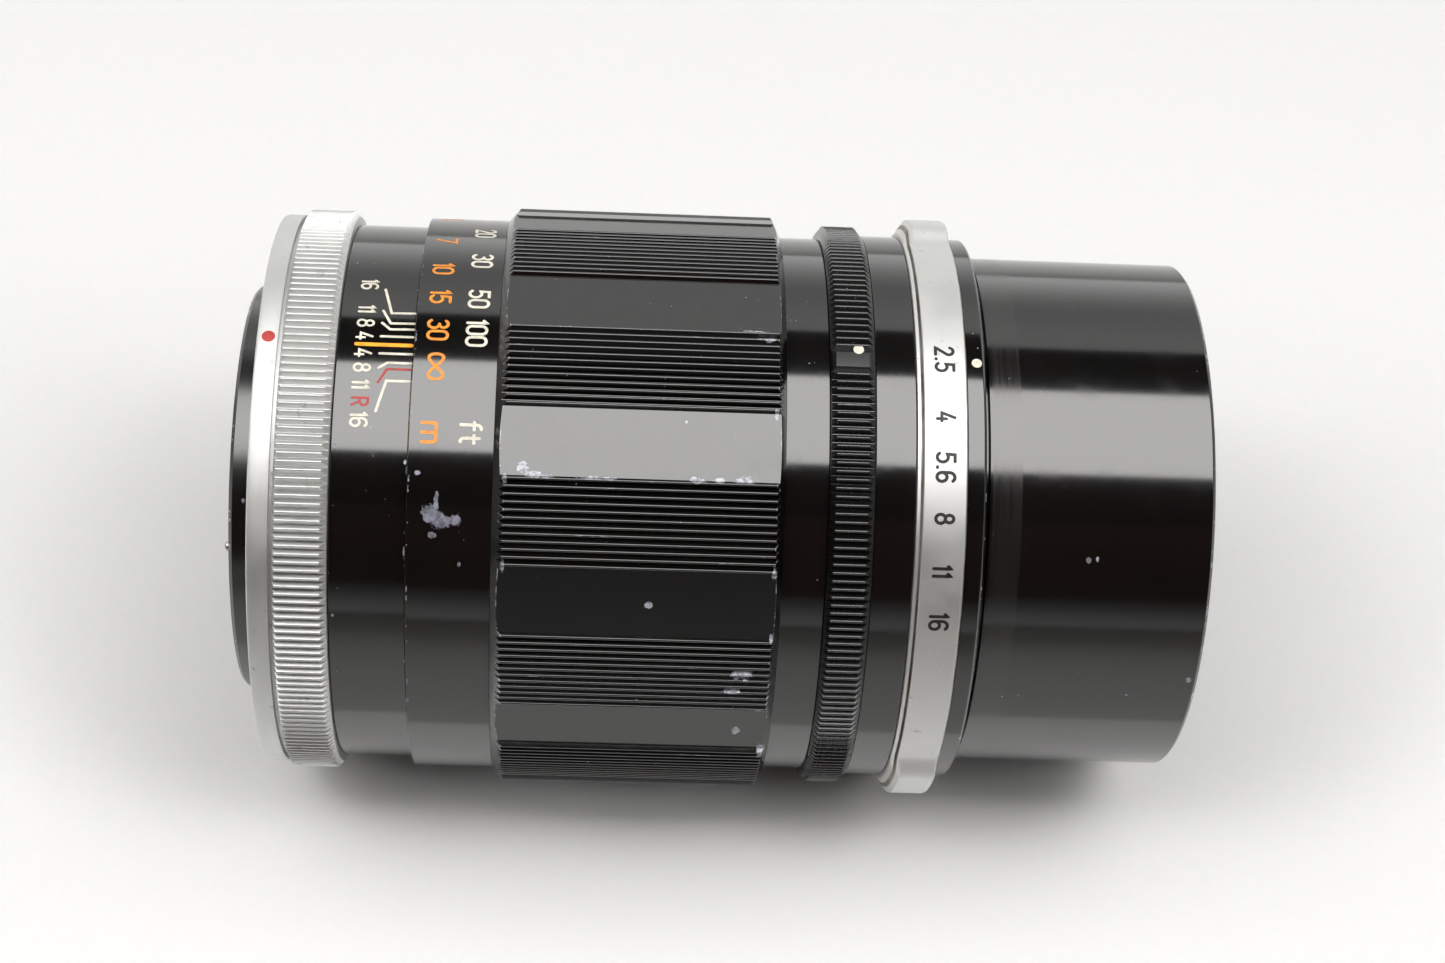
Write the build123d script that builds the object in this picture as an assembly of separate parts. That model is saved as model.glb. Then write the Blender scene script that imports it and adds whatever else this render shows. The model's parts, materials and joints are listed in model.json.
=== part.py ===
from build123d import *
import os
from math import asin, copysign, cos, degrees, radians, sin, sqrt

# A short telephoto lens for a breech-lock camera mount, lying on its side on a flat of its focus grip.
# Millimetres. +X runs along the optical axis from the mount to the front rim, +Z is up, and the origin
# is on the axis at the seat that meets the camera. Clock angles are in degrees from the top, and are
# positive right-handed about +X. Stations are distances along X, and "r" names are radii.

# Running clearances
RUN = 0.1
GLASS_FIT = 0.05

# Index and travel of the rings (clock angles)
INDEX_ANGLE = 9.7
UNDERSIDE_ANGLES = (135.0, 220.0, 305.0)
GRIP_PITCH = 30.0
APERTURE_TRAVEL = 52.3
FOCUS_TO_INFINITY = 5.8
FOCUS_TO_NEAR = 202.7

# Mount
SPIGOT_END = -5.06
SPIGOT_R = 23.8
SPIGOT_BORE_R = 21.6
SPIGOT_ROOT_R = 23.0
SPIGOT_ROOT_END = 4.0
SEAT_R = 30.0
SEAT_THICK = 4.5
NECK_R = 28.5
NECK_END = 8.0
NECK_BORE_R = 25.0
LUG_COUNT = 3
LUG_ARC = 32.0
LUG_R = 25.6
LUG_RING_R = 30.5
LUG_FACE = -0.9
MOUNT_SCREW_R = 26.75
LOCATING_PIN_R = 26.2

# Breech ring
BREECH_REAR = -2.0
BREECH_BAND_END = 0.33
BREECH_KNURL_START = 0.78
BREECH_KNURL_END = 5.93
BREECH_FRONT = 6.63
BREECH_BAND_R = 32.35
BREECH_GROOVE_R = 31.6
BREECH_KNURL_R = 33.0
BREECH_FRONT_R = 32.3

# Fixed barrel
BARREL_REAR = 6.73
BARREL_FRONT = 15.0
BARREL_R = 31.4
WEB_END = 12.1
SKIRT_BORE_R = 29.5
GUIDE_TUBE_R = 26.3
GUIDE_TUBE_BORE_R = 24.8
GUIDE_TUBE_END = 45.0

# Focusing ring
SCALE_REAR = 15.28
SCALE_R = 32.5
GRIP_REAR = 24.3
GRIP_BODY_START = 25.5
GRIP_BODY_END = 54.96
GRIP_FRONT = 55.9
GRIP_R = 34.0
GRIP_REAR_R = 32.6
GRIP_FRONT_R = 32.1
GRIP_BORE_R = 31.75
FLAT_HEIGHT = 33.3
FLAT_HALF_ARC = 6.6
HELICOID_BORE_R = 28.5
HELICOID_R = 30.1
HELICOID_END = 52.0
HELICOID_FLANGE_END = 18.0
HELICOID_FLANGE_R = 31.9

# Sliding front section
SLIDE_REAR = 19.0
SLIDE_BORE_R = 26.5
SLIDE_R = 28.4
SHROUD_REAR = 37.0
SHROUD_BORE_R = 30.4
SHROUD_R = 31.65
SHROUD_WEB_START = 54.0
SHROUD_WEB_END = 58.0
RING_SEAT_START = 60.65
RING_SEAT_R = 30.45
RING_BORE_R = 30.5
FRONT_BARREL_BORE_R = 29.0
MODE_RING_REAR = 60.72
MODE_RING_FRONT = 65.6
MODE_RING_R = 33.2
COLLAR_REAR = 65.68
COLLAR_FRONT = 70.05
COLLAR_R = 32.2
APERTURE_REAR = 70.12
APERTURE_FRONT = 75.6
APERTURE_R = 32.75
APERTURE_LIP_R = 32.4
APERTURE_GROOVE_R = 32.0
EAR_R = 34.35
EAR_ARC = 43.0
EAR_ANGLES = (-53.5, 126.5)
EAR_BACK = 71.3
INDEX_REAR = 75.7
INDEX_FRONT = 77.8
INDEX_R = 32.15
TUBE_SPIGOT_REAR = 75.0
TUBE_REAR = 78.46
TUBE_FRONT = 103.5
TUBE_R = 30.0
TUBE_BORE_R = 28.05
THREAD_START = 98.5
THREAD_MINOR_R = 28.6

# Front and rear cells
CELL_REAR = 64.6
CELL_STEP = 76.0
CELL_FRONT = 96.5
CELL_TAIL_R = 26.4
L1_RIM_R = 27.6
L2_RIM_R = 25.0
REAR_CELL_REAR = 35.0
REAR_CELL_R = 22.5
REAR_FLANGE_START = 55.5
REAR_FLANGE_R = 26.3
L4_RIM_R = 18.5
L5_RIM_R = 19.5

# Iris
BLADE_COUNT = 8
HOUSING_REAR = 58.0
HOUSING_FLOOR = 59.2
HOUSING_FRONT = 64.0
HOUSING_BORE_R = 28.3
WINDOW_R = 19.6
PIVOT_R = 25.4
BLADE_INNER_R = 19.3
BLADE_OUTER_R = 24.4
BLADE_ARC = 112.0
BLADE_THICK = 0.12
BLADE_LEVEL = 0.2
FIRST_LEVEL = 59.4
PIN_R = 0.5
PIN_HOLE_R = 0.55
CRANK_LENGTH = 3.0
CRANK_ANGLE = -100.0
WIDEST_STOP = 2.5
SMALLEST_STOP = 16.0
SMALLEST_R = BLADE_INNER_R * WIDEST_STOP / SMALLEST_STOP
BLADE_TRAVEL = 2 * degrees(asin((BLADE_INNER_R - SMALLEST_R) / (2 * PIVOT_R)))
BLADE_RATIO = BLADE_TRAVEL / APERTURE_TRAVEL
DRIVE_REAR = 61.2
DRIVE_FRONT = 62.2
DRIVE_BORE_R = 20.2
DRIVE_R = 28.2
TAB_ANGLE = 200.0
TAB_R = (26.8, 28.1)
TAB_END = 74.5
DRIVE_SCREW_X = 73.0
DRIVE_SCREW_R = 0.9

# Automatic stop-down linkage
HUB_R = 18.9
HUB_BORE_R = 17.0
HUB_END = 7.0
BAFFLE_REAR = -3.4
BAFFLE_THICK = 1.0
LEVER_REAR = 4.3
LEVER_FRONT = 5.5
LEVER_R = 24.6
LEVER_PIN_ANGLE = 60.0
LEVER_PIN_R = 20.0
LEVER_PIN_END = -5.9
LEVER_TRAVEL = 25.0
ROD_ANGLE = 100.0
ROD_CENTRE_R = 23.65
ROD_R = 0.7
ROD_END = 52.0
FORK_REAR = 34.0
FORK_RING = (53.0, 54.5)
FORK_RING_R = 24.4
RAIL_R = (23.0, 24.3)
RAIL_GAP = 1.6
RAIL_WIDTH = 1.2


# ---- Drawing helpers

def around(angle):
    """Carry a shape made at the top round the optical axis to a clock angle."""
    return Rot(angle, 0, 0)


def spaced(count, start=0.0):
    """Clock angles of equally spaced features."""
    return [start + 360 * i / count for i in range(count)]


def turned(*outline, arc=360, start=0.0):
    """Revolve an outline of (x, r) points, from a clock angle through an arc."""
    face = Plane.XZ * make_face(Polyline(*outline, close=True))
    return around(start) * revolve(face, Axis.X, revolution_arc=arc)


def ring(rear, front, bore_r, outer_r, arc=360, start=0.0):
    """A plain ring, or a stretch of one."""
    return turned((rear, bore_r), (front, bore_r), (front, outer_r), (rear, outer_r), arc=arc, start=start)


def across(x):
    """The plane across the axis at a station. Its first direction is up, so polar angles are clock angles."""
    return Plane(origin=(x, 0, 0), x_dir=(0, 0, 1), z_dir=(1, 0, 0))


def axial_pin(rear, front, pin_r, centre_r, angle=0.0):
    """A round pin parallel to the axis."""
    pin = Pos((rear + front) / 2, 0, centre_r) * Rot(0, 90, 0) * Cylinder(pin_r, front - rear)
    return around(angle) * pin


def radial_pin(x, low_r, high_r, pin_r, angle=0.0):
    """A round pin that points out from the axis."""
    return around(angle) * Pos(x, 0, (low_r + high_r) / 2) * Cylinder(pin_r, high_r - low_r)


def set_screw(x, low_r, high_r, screw_r, angle):
    """A headless screw with a driver slot in its outer end."""
    slot = Pos(x, 0, high_r) * Box(2 * screw_r, screw_r * 0.4, screw_r)
    return radial_pin(x, low_r, high_r, screw_r, angle) - around(angle) * slot


def flat_screw(face, tip, centre_r, shank_r, angle, facing=-1):
    """A countersunk screw along the axis, its slotted head flush with a face that looks along facing."""
    head_r = 1.75 * shank_r
    neck = face - facing * (head_r - shank_r)
    outline = ((face, 0), (face, head_r), (neck, shank_r), (tip, shank_r), (tip, 0))
    body = Pos(0, 0, centre_r) * revolve(Plane.XZ * make_face(Polyline(*outline, close=True)), Axis.X)
    slot = Pos(face, 0, centre_r) * Box(0.6 * shank_r, 2 * head_r, 0.4 * shank_r)
    return around(angle) * (body - slot)


def group(shapes):
    """Several separate solids in one node."""
    return Compound(children=[solid for shape in shapes for solid in shape.solids()])


# ---- Glass

def sag(curve, height):
    """Depth of a spherical surface; a positive curve has its centre behind the vertex."""
    return curve - copysign(sqrt(curve * curve - height * height), curve)


def surface(vertex, curve, height):
    """One polished surface, from the axis out to a height; a curve of 0 is flat."""
    if curve == 0:
        return Line((vertex, 0), (vertex, height))
    middle = vertex - sag(curve, height / 2)
    edge = vertex - sag(curve, height)
    return ThreePointArc((vertex, 0), (middle, height / 2), (edge, height))


def element(front, rear, rim_r):
    """A glass element; each side is given as vertex, radius of curvature and polished height."""
    front_line = surface(*front)
    rear_line = surface(*rear)
    front_edge = front_line @ 1
    rear_edge = rear_line @ 1
    rim = Polyline(front_edge, (front_edge.X, rim_r), (rear_edge.X, rim_r), rear_edge)
    axis = Line(rear_line @ 0, front_line @ 0)
    return revolve(Plane.XZ * make_face([front_line, rim, rear_line, axis]), Axis.X)


def front_element():
    return element((92.0, 70, 27.2), (83.4, -400, 27.2), L1_RIM_R)


def second_element():
    return element((82.6, 60, 24.7), (74.6, 0, 24.7), L2_RIM_R)


def third_element():
    return element((74.6, 0, 24.7), (72.4, 38, 20.5), L2_RIM_R)


def fourth_element():
    return element((54.0, -60, 17.0), (52.4, 45, 17.0), L4_RIM_R)


def fifth_element():
    return element((45.4, 90, 19.2), (39.4, -90, 19.2), L5_RIM_R)


def sixth_element():
    return element((39.4, -90, 19.2), (37.4, -150, 19.2), L5_RIM_R)


# ---- Mount and fixed barrel

MOUNT_SCREW_ANGLES = spaced(4, INDEX_ANGLE + 45)


def mount_flange():
    """The plated seat and its neck, which enters the fixed barrel."""
    body = turned((0, SPIGOT_ROOT_R), (SPIGOT_ROOT_END, SPIGOT_ROOT_R), (SPIGOT_ROOT_END, NECK_BORE_R),
                  (NECK_END, NECK_BORE_R), (NECK_END, NECK_R), (SEAT_THICK, NECK_R), (SEAT_THICK, SEAT_R),
                  (0.3, SEAT_R), (0, SEAT_R - 0.3))
    for angle in MOUNT_SCREW_ANGLES:
        body -= flat_screw(0, NECK_END, MOUNT_SCREW_R, 0.85, angle)
    return body - axial_pin(0, 3, 1.1, LOCATING_PIN_R, INDEX_ANGLE)


def mount_screws():
    return group(flat_screw(0, 10.5, MOUNT_SCREW_R, 0.85, angle) for angle in MOUNT_SCREW_ANGLES)


def locating_pin():
    pin = axial_pin(-0.8, 3, 1.1, LOCATING_PIN_R, INDEX_ANGLE)
    return chamfer(pin.edges().sort_by(Axis.X)[:1], 0.3)


def rear_guard():
    """The black tube that enters the camera's throat."""
    return turned((SPIGOT_END, SPIGOT_BORE_R + 0.4), (SPIGOT_END + 0.4, SPIGOT_BORE_R),
                  (SPIGOT_ROOT_END, SPIGOT_BORE_R), (SPIGOT_ROOT_END, SPIGOT_ROOT_R), (0, SPIGOT_ROOT_R),
                  (0, SPIGOT_R), (SPIGOT_END + 0.4, SPIGOT_R), (SPIGOT_END, SPIGOT_R - 0.4))


def rear_baffle():
    """The plate and hub behind the glass; the hub carries the stop-down ring."""
    front = BAFFLE_REAR + BAFFLE_THICK
    body = turned((BAFFLE_REAR, HUB_BORE_R), (HUB_END, HUB_BORE_R), (HUB_END, HUB_R), (front, HUB_R),
                  (front, SPIGOT_BORE_R), (BAFFLE_REAR, SPIGOT_BORE_R))
    slot_start = LEVER_PIN_ANGLE - 4
    slot = ring(BAFFLE_REAR - 1, front + 1, HUB_R + 0.2, LEVER_PIN_R + 1.0, LEVER_TRAVEL + 8, slot_start)
    groove = ring(LEVER_FRONT + 0.1, LEVER_FRONT + 0.7, HUB_R - 0.6, HUB_R + 0.1)
    return body - slot - groove


def lever_circlip():
    rear = LEVER_FRONT + 0.1
    return ring(rear, rear + 0.6, HUB_R - 0.6, HUB_R + 1.0, arc=330, start=LEVER_PIN_ANGLE + 15)


def lever_spring():
    """Torsion spring that returns the stop-down ring, wound round the end of the hub."""
    coil = Helix(pitch=0.7, height=2.1, radius=HUB_R + 0.7, center=(0, 0, 0), direction=(0, 0, 1))
    wire = sweep(Plane(origin=coil @ 0, z_dir=coil % 0) * Circle(0.25), path=coil)
    return Pos(LEVER_FRONT + 1.2, 0, 0) * Rot(0, 90, 0) * wire


def main_barrel():
    """The fixed barrel: depth scale outside, web, and the tube that guides the front section."""
    body = turned((BARREL_REAR, NECK_R), (NECK_END, NECK_R), (NECK_END, GUIDE_TUBE_BORE_R),
                  (GUIDE_TUBE_END, GUIDE_TUBE_BORE_R), (GUIDE_TUBE_END, GUIDE_TUBE_R),
                  (WEB_END, GUIDE_TUBE_R), (WEB_END, SKIRT_BORE_R), (BARREL_FRONT, SKIRT_BORE_R),
                  (BARREL_FRONT, BARREL_R - 0.15), (BARREL_FRONT - 0.15, BARREL_R), (BARREL_REAR, BARREL_R))
    for angle in MOUNT_SCREW_ANGLES:
        body -= axial_pin(NECK_END, 10.5, 0.85, MOUNT_SCREW_R, angle)
    for angle in KEY_ANGLES:
        body -= key_block(angle)
        for x in KEY_SCREW_STATIONS:
            body -= radial_pin(x, GUIDE_TUBE_BORE_R - 1, GUIDE_TUBE_R, 0.7, angle)
    return body - stop_groove()


KEY_ANGLES = (90.0, 270.0)
KEY_REAR = 36.0
KEY_FRONT = 44.0
KEY_WIDTH = 4.0
KEY_LOW_R = 25.5
KEY_TOP_R = 27.8
KEY_SCREW_STATIONS = (37.8, 42.2)
STOP_GROOVE_DEEP = 1.8
STOP_PIN_R = 0.6
STOP_PIN_CENTRE_R = 27.9
STOP_PIN_ANGLE = 180.0


def stop_groove():
    """Groove in the web's front face whose two ends stop the focusing ring."""
    margin = degrees((STOP_PIN_R + 0.1) / STOP_PIN_CENTRE_R)
    start = STOP_PIN_ANGLE - FOCUS_TO_INFINITY - margin
    arc = FOCUS_TO_INFINITY + FOCUS_TO_NEAR + 2 * margin
    low_r = STOP_PIN_CENTRE_R - STOP_PIN_R - RUN
    high_r = STOP_PIN_CENTRE_R + STOP_PIN_R + RUN
    return ring(WEB_END - STOP_GROOVE_DEEP, WEB_END + 0.1, low_r, high_r, arc, start)


def key_block(angle):
    """The space of one guide key."""
    x = (KEY_REAR + KEY_FRONT) / 2
    block = Box(KEY_FRONT - KEY_REAR, KEY_WIDTH, KEY_TOP_R - KEY_LOW_R)
    return around(angle) * Pos(x, 0, (KEY_LOW_R + KEY_TOP_R) / 2) * block


def guide_keys():
    keys = []
    for angle in KEY_ANGLES:
        key = key_block(angle)
        for x in KEY_SCREW_STATIONS:
            key -= key_screw(x, angle)
        keys.append(key)
    return group(keys)


def key_screw(x, angle):
    shank = radial_pin(x, GUIDE_TUBE_BORE_R + 0.1, KEY_TOP_R, 0.7, angle)
    head = radial_pin(x, KEY_TOP_R - 0.8, KEY_TOP_R - 0.1, 1.2, angle)
    return shank - radial_pin(x, KEY_TOP_R - 0.1, KEY_TOP_R + 1, 2, angle) + head


def key_screws():
    return group(key_screw(x, angle) for angle in KEY_ANGLES for x in KEY_SCREW_STATIONS)


def focus_retaining_ring():
    """Threaded ring on the guide tube that keeps the focusing helicoid in place."""
    body = ring(15.1, 17.0, GUIDE_TUBE_R, SLIDE_R - 0.1)
    for angle in spaced(2, 0):
        body -= axial_pin(16.2, 17.1, 0.6, 27.4, angle)
    return body


# ---- Breech ring

LUG_SCREW_ANGLES = spaced(LUG_COUNT, INDEX_ANGLE)


def breech_ring():
    """The plated locking ring; its inner rib runs between the seat and the fixed barrel."""
    return turned((BREECH_REAR, LUG_RING_R), (LUG_FACE, LUG_RING_R), (LUG_FACE, SEAT_R + RUN),
                  (SEAT_THICK + RUN, SEAT_R + RUN), (SEAT_THICK + RUN, NECK_R + RUN),
                  (BREECH_FRONT, NECK_R + RUN), (BREECH_FRONT, BREECH_FRONT_R - 0.2),
                  (BREECH_FRONT - 0.1, BREECH_FRONT_R), (BREECH_KNURL_END, BREECH_KNURL_R),
                  (BREECH_KNURL_START + 0.2, BREECH_KNURL_R), (BREECH_KNURL_START, BREECH_KNURL_R - 0.4),
                  (BREECH_KNURL_START, BREECH_GROOVE_R),
                  (BREECH_BAND_END, BREECH_GROOVE_R), (BREECH_BAND_END, BREECH_BAND_R),
                  (BREECH_REAR + 0.3, BREECH_BAND_R), (BREECH_REAR, BREECH_BAND_R - 0.3))


def breech_lug_ring():
    """Steel ring with the three inward lugs that pull the camera's flange to the seat."""
    body = ring(BREECH_REAR, LUG_FACE, 28.2, LUG_RING_R)
    for angle in spaced(LUG_COUNT, INDEX_ANGLE + 60):
        body += ring(BREECH_REAR, LUG_FACE, LUG_R, 28.5, LUG_ARC, angle - LUG_ARC / 2)
    for angle in LUG_SCREW_ANGLES:
        body -= flat_screw(BREECH_REAR, LUG_FACE, 29.4, 0.55, angle)
    return body


def lug_ring_screws():
    return group(flat_screw(BREECH_REAR, LUG_FACE, 29.4, 0.55, angle) for angle in LUG_SCREW_ANGLES)


# ---- Focusing ring

GRIP_SCREW_ANGLES = UNDERSIDE_ANGLES
GRIP_SCREW_X = 16.8


def distance_scale_ring():
    body = turned((SCALE_REAR, HELICOID_FLANGE_R), (HELICOID_FLANGE_END, HELICOID_FLANGE_R),
                  (HELICOID_FLANGE_END, HELICOID_R), (GRIP_REAR, HELICOID_R), (GRIP_REAR, SCALE_R),
                  (SCALE_REAR + 0.15, SCALE_R), (SCALE_REAR, SCALE_R - 0.15))
    for angle in GRIP_SCREW_ANGLES:
        body -= radial_pin(GRIP_SCREW_X, HELICOID_FLANGE_R - 1, SCALE_R + 1, 0.9, angle)
    return body


def focus_grip():
    """The grip: twelve raised lands with sunk flats between them."""
    body = turned((GRIP_REAR, HELICOID_R), (GRIP_REAR + 2, HELICOID_R), (GRIP_REAR + 2, GRIP_BORE_R),
                  (GRIP_FRONT, GRIP_BORE_R), (GRIP_FRONT, GRIP_FRONT_R), (GRIP_BODY_END, GRIP_R),
                  (GRIP_BODY_START, GRIP_R), (GRIP_REAR, GRIP_REAR_R))
    width = 2 * GRIP_R * sin(radians(FLAT_HALF_ARC))
    depth = 2.0
    cutter = Pos((GRIP_REAR + GRIP_FRONT) / 2, 0, FLAT_HEIGHT + depth / 2)
    cutter *= Box(GRIP_FRONT - GRIP_REAR + 1, width, depth)
    for angle in spaced(round(360 / GRIP_PITCH)):
        body -= around(angle) * cutter
    return body


def focus_helicoid():
    """The turning helicoid: hub on the guide tube, threaded sleeve, and flange for the scale ring."""
    body = turned((WEB_END + RUN, GUIDE_TUBE_R + RUN), (BARREL_FRONT, GUIDE_TUBE_R + RUN),
                  (BARREL_FRONT, HELICOID_BORE_R), (HELICOID_END, HELICOID_BORE_R),
                  (HELICOID_END, HELICOID_R), (HELICOID_FLANGE_END, HELICOID_R),
                  (HELICOID_FLANGE_END, HELICOID_FLANGE_R), (SCALE_REAR, HELICOID_FLANGE_R),
                  (SCALE_REAR, SKIRT_BORE_R - RUN), (WEB_END + RUN, SKIRT_BORE_R - RUN))
    body -= axial_pin(WEB_END, 14, STOP_PIN_R, STOP_PIN_CENTRE_R, STOP_PIN_ANGLE)
    for angle in GRIP_SCREW_ANGLES:
        body -= radial_pin(GRIP_SCREW_X, HELICOID_R, SCALE_R, 0.9, angle)
    return body


def focus_stop_pin():
    rear = WEB_END - STOP_GROOVE_DEEP + 0.3
    return axial_pin(rear, 14, STOP_PIN_R, STOP_PIN_CENTRE_R, STOP_PIN_ANGLE)


def grip_screws():
    tops = SCALE_R - 0.15
    return group(set_screw(GRIP_SCREW_X, HELICOID_R, tops, 0.9, angle) for angle in GRIP_SCREW_ANGLES)


# ---- Sliding front section

BARREL_SCREW_ANGLES = spaced(3, 150)
BARREL_SCREW_X = 55.2
COLLAR_SCREW_ANGLES = UNDERSIDE_ANGLES
COLLAR_SCREW_X = 67.9
BALL_ANGLE = 60.0
BALL_R = 0.85
BALL_CENTRE_R = 29.85
CLICK_X = 73.0
CLICK_COUNT = 11


def helicoid_barrel():
    """The sliding helicoid, slotted for the two guide keys."""
    body = ring(SLIDE_REAR, SHROUD_WEB_END, SLIDE_BORE_R, SLIDE_R)
    slot_end = KEY_FRONT + 5
    middle = (SLIDE_REAR + slot_end) / 2
    slot = Pos(middle, 0, SLIDE_R) * Box(slot_end - SLIDE_REAR + 0.01, KEY_WIDTH + RUN, 6)
    for angle in KEY_ANGLES:
        body -= around(angle) * slot
    for angle in BARREL_SCREW_ANGLES:
        body -= radial_pin(BARREL_SCREW_X, SLIDE_R - 1, SLIDE_R + 1, 1.0, angle)
    return body


def front_barrel():
    """The outer barrel of the front section: shroud under the grip, then the seat of the rings."""
    body = turned((SHROUD_REAR, SHROUD_BORE_R), (SHROUD_WEB_START, SHROUD_BORE_R),
                  (SHROUD_WEB_START, SLIDE_R), (SHROUD_WEB_END, SLIDE_R),
                  (SHROUD_WEB_END, FRONT_BARREL_BORE_R), (INDEX_FRONT - 0.1, FRONT_BARREL_BORE_R),
                  (INDEX_FRONT - 0.1, RING_SEAT_R), (RING_SEAT_START, RING_SEAT_R),
                  (RING_SEAT_START, SHROUD_R), (SHROUD_REAR, SHROUD_R))
    for angle in BARREL_SCREW_ANGLES:
        body -= radial_pin(BARREL_SCREW_X, SLIDE_R - 1, SHROUD_R + 1, 1.0, angle)
    for angle in COLLAR_SCREW_ANGLES:
        body -= radial_pin(COLLAR_SCREW_X, RING_SEAT_R - 0.7, RING_SEAT_R + 1, 0.8, angle)
    body -= radial_pin(CLICK_X, FRONT_BARREL_BORE_R - 1, RING_SEAT_R + 1, BALL_R, BALL_ANGLE)
    return body - drive_slot()


def drive_slot():
    """Slot that the aperture ring's drive screw sweeps."""
    margin = degrees((DRIVE_SCREW_R + 0.3) / RING_SEAT_R)
    half_width = DRIVE_SCREW_R + RUN
    return ring(DRIVE_SCREW_X - half_width, DRIVE_SCREW_X + half_width, 28.5, 31,
                APERTURE_TRAVEL + 2 * margin, TAB_ANGLE - APERTURE_TRAVEL - margin)


def barrel_screws():
    top_r = SHROUD_R - 0.1
    low_r = SLIDE_R - 1
    return group(set_screw(BARREL_SCREW_X, low_r, top_r, 1.0, angle) for angle in BARREL_SCREW_ANGLES)


def middle_collar():
    """Black collar between the two turning rings."""
    body = ring(COLLAR_REAR, COLLAR_FRONT, RING_SEAT_R, COLLAR_R)
    for angle in COLLAR_SCREW_ANGLES:
        body -= radial_pin(COLLAR_SCREW_X, RING_SEAT_R - 1, COLLAR_R + 1, 0.8, angle)
    return body


def collar_screws():
    low_r = RING_SEAT_R - 0.7
    return group(set_screw(COLLAR_SCREW_X, low_r, COLLAR_R, 0.8, angle) for angle in COLLAR_SCREW_ANGLES)


def index_ring():
    return turned((INDEX_REAR, RING_SEAT_R), (INDEX_FRONT, RING_SEAT_R), (INDEX_FRONT, INDEX_R - 0.3),
                  (INDEX_FRONT - 0.3, INDEX_R), (INDEX_REAR, INDEX_R))


def front_tube():
    """The front barrel; its filter thread is a plain bore at the thread's minor radius."""
    return turned((TUBE_SPIGOT_REAR, TUBE_BORE_R), (THREAD_START - 0.6, TUBE_BORE_R),
                  (THREAD_START, THREAD_MINOR_R), (TUBE_FRONT - 0.2, THREAD_MINOR_R),
                  (TUBE_FRONT, THREAD_MINOR_R + 0.2), (TUBE_FRONT, TUBE_R - 0.4), (TUBE_FRONT - 0.4, TUBE_R),
                  (TUBE_REAR, TUBE_R), (TUBE_REAR, FRONT_BARREL_BORE_R),
                  (TUBE_SPIGOT_REAR, FRONT_BARREL_BORE_R))


def front_bezel():
    """The black ring that clamps the front element."""
    return turned((86.75, 26.9), (94.0, 27.5), (94.0, L1_RIM_R + GLASS_FIT), (86.75, L1_RIM_R + GLASS_FIT))


def front_cell():
    """The cell of the front three elements."""
    l1_bore = L1_RIM_R + GLASS_FIT
    l2_bore = L2_RIM_R + GLASS_FIT
    return turned((CELL_REAR, 20.6), (66.3, 20.6), (66.3, l2_bore), (84.15, l2_bore), (84.15, l1_bore),
                  (94.3, l1_bore), (CELL_FRONT, TUBE_BORE_R - 0.2), (CELL_FRONT, TUBE_BORE_R),
                  (CELL_STEP, TUBE_BORE_R), (CELL_STEP, CELL_TAIL_R), (CELL_REAR, CELL_TAIL_R))


def front_retaining_ring():
    """Threaded ring that holds the cemented pair in the front cell."""
    return ring(77.8, 80.0, 23.8, L2_RIM_R + GLASS_FIT)


def rear_cell():
    """The cell of the rear three elements, bolted behind the iris."""
    l4_bore = L4_RIM_R + GLASS_FIT
    l5_bore = L5_RIM_R + GLASS_FIT
    body = turned((REAR_CELL_REAR, l5_bore), (46, l5_bore), (46, 17), (49, 17), (49, l4_bore),
                  (HOUSING_REAR, l4_bore), (HOUSING_REAR, REAR_FLANGE_R), (REAR_FLANGE_START, REAR_FLANGE_R),
                  (REAR_FLANGE_START, REAR_CELL_R), (REAR_CELL_REAR, REAR_CELL_R))
    for angle in CELL_SCREW_ANGLES:
        body -= cell_screw(angle)
    return body


CELL_SCREW_ANGLES = spaced(3, 40)


def cell_screw(angle):
    return flat_screw(REAR_FLANGE_START, 59.0, 24.2, 0.7, angle)


def rear_cell_screws():
    return group(cell_screw(angle) for angle in CELL_SCREW_ANGLES)


def fourth_retaining_ring():
    return ring(56.6, 57.8, 17.3, L4_RIM_R + GLASS_FIT)


def rear_spacer():
    return ring(43.65, 46, 18.0, L5_RIM_R + GLASS_FIT)


def rear_retaining_ring():
    return ring(35.6, 38.3, 18.0, L5_RIM_R + GLASS_FIT)


def click_ball():
    return around(BALL_ANGLE) * Pos(CLICK_X, 0, BALL_CENTRE_R) * Sphere(BALL_R)


def click_spring():
    """Leaf that presses the click ball outwards."""
    return ring(CLICK_X - 0.8, CLICK_X + 0.8, 28.75, BALL_CENTRE_R - BALL_R, 26, BALL_ANGLE - 13)


# ---- Rings that turn on the front section

def mode_ring():
    """The ring that chooses automatic or manual stopping down."""
    return turned((MODE_RING_REAR, RING_BORE_R), (MODE_RING_FRONT, RING_BORE_R),
                  (MODE_RING_FRONT, MODE_RING_R - 0.9), (MODE_RING_FRONT - 0.8, MODE_RING_R),
                  (MODE_RING_REAR + 0.6, MODE_RING_R), (MODE_RING_REAR, MODE_RING_R - 0.55))


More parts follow.
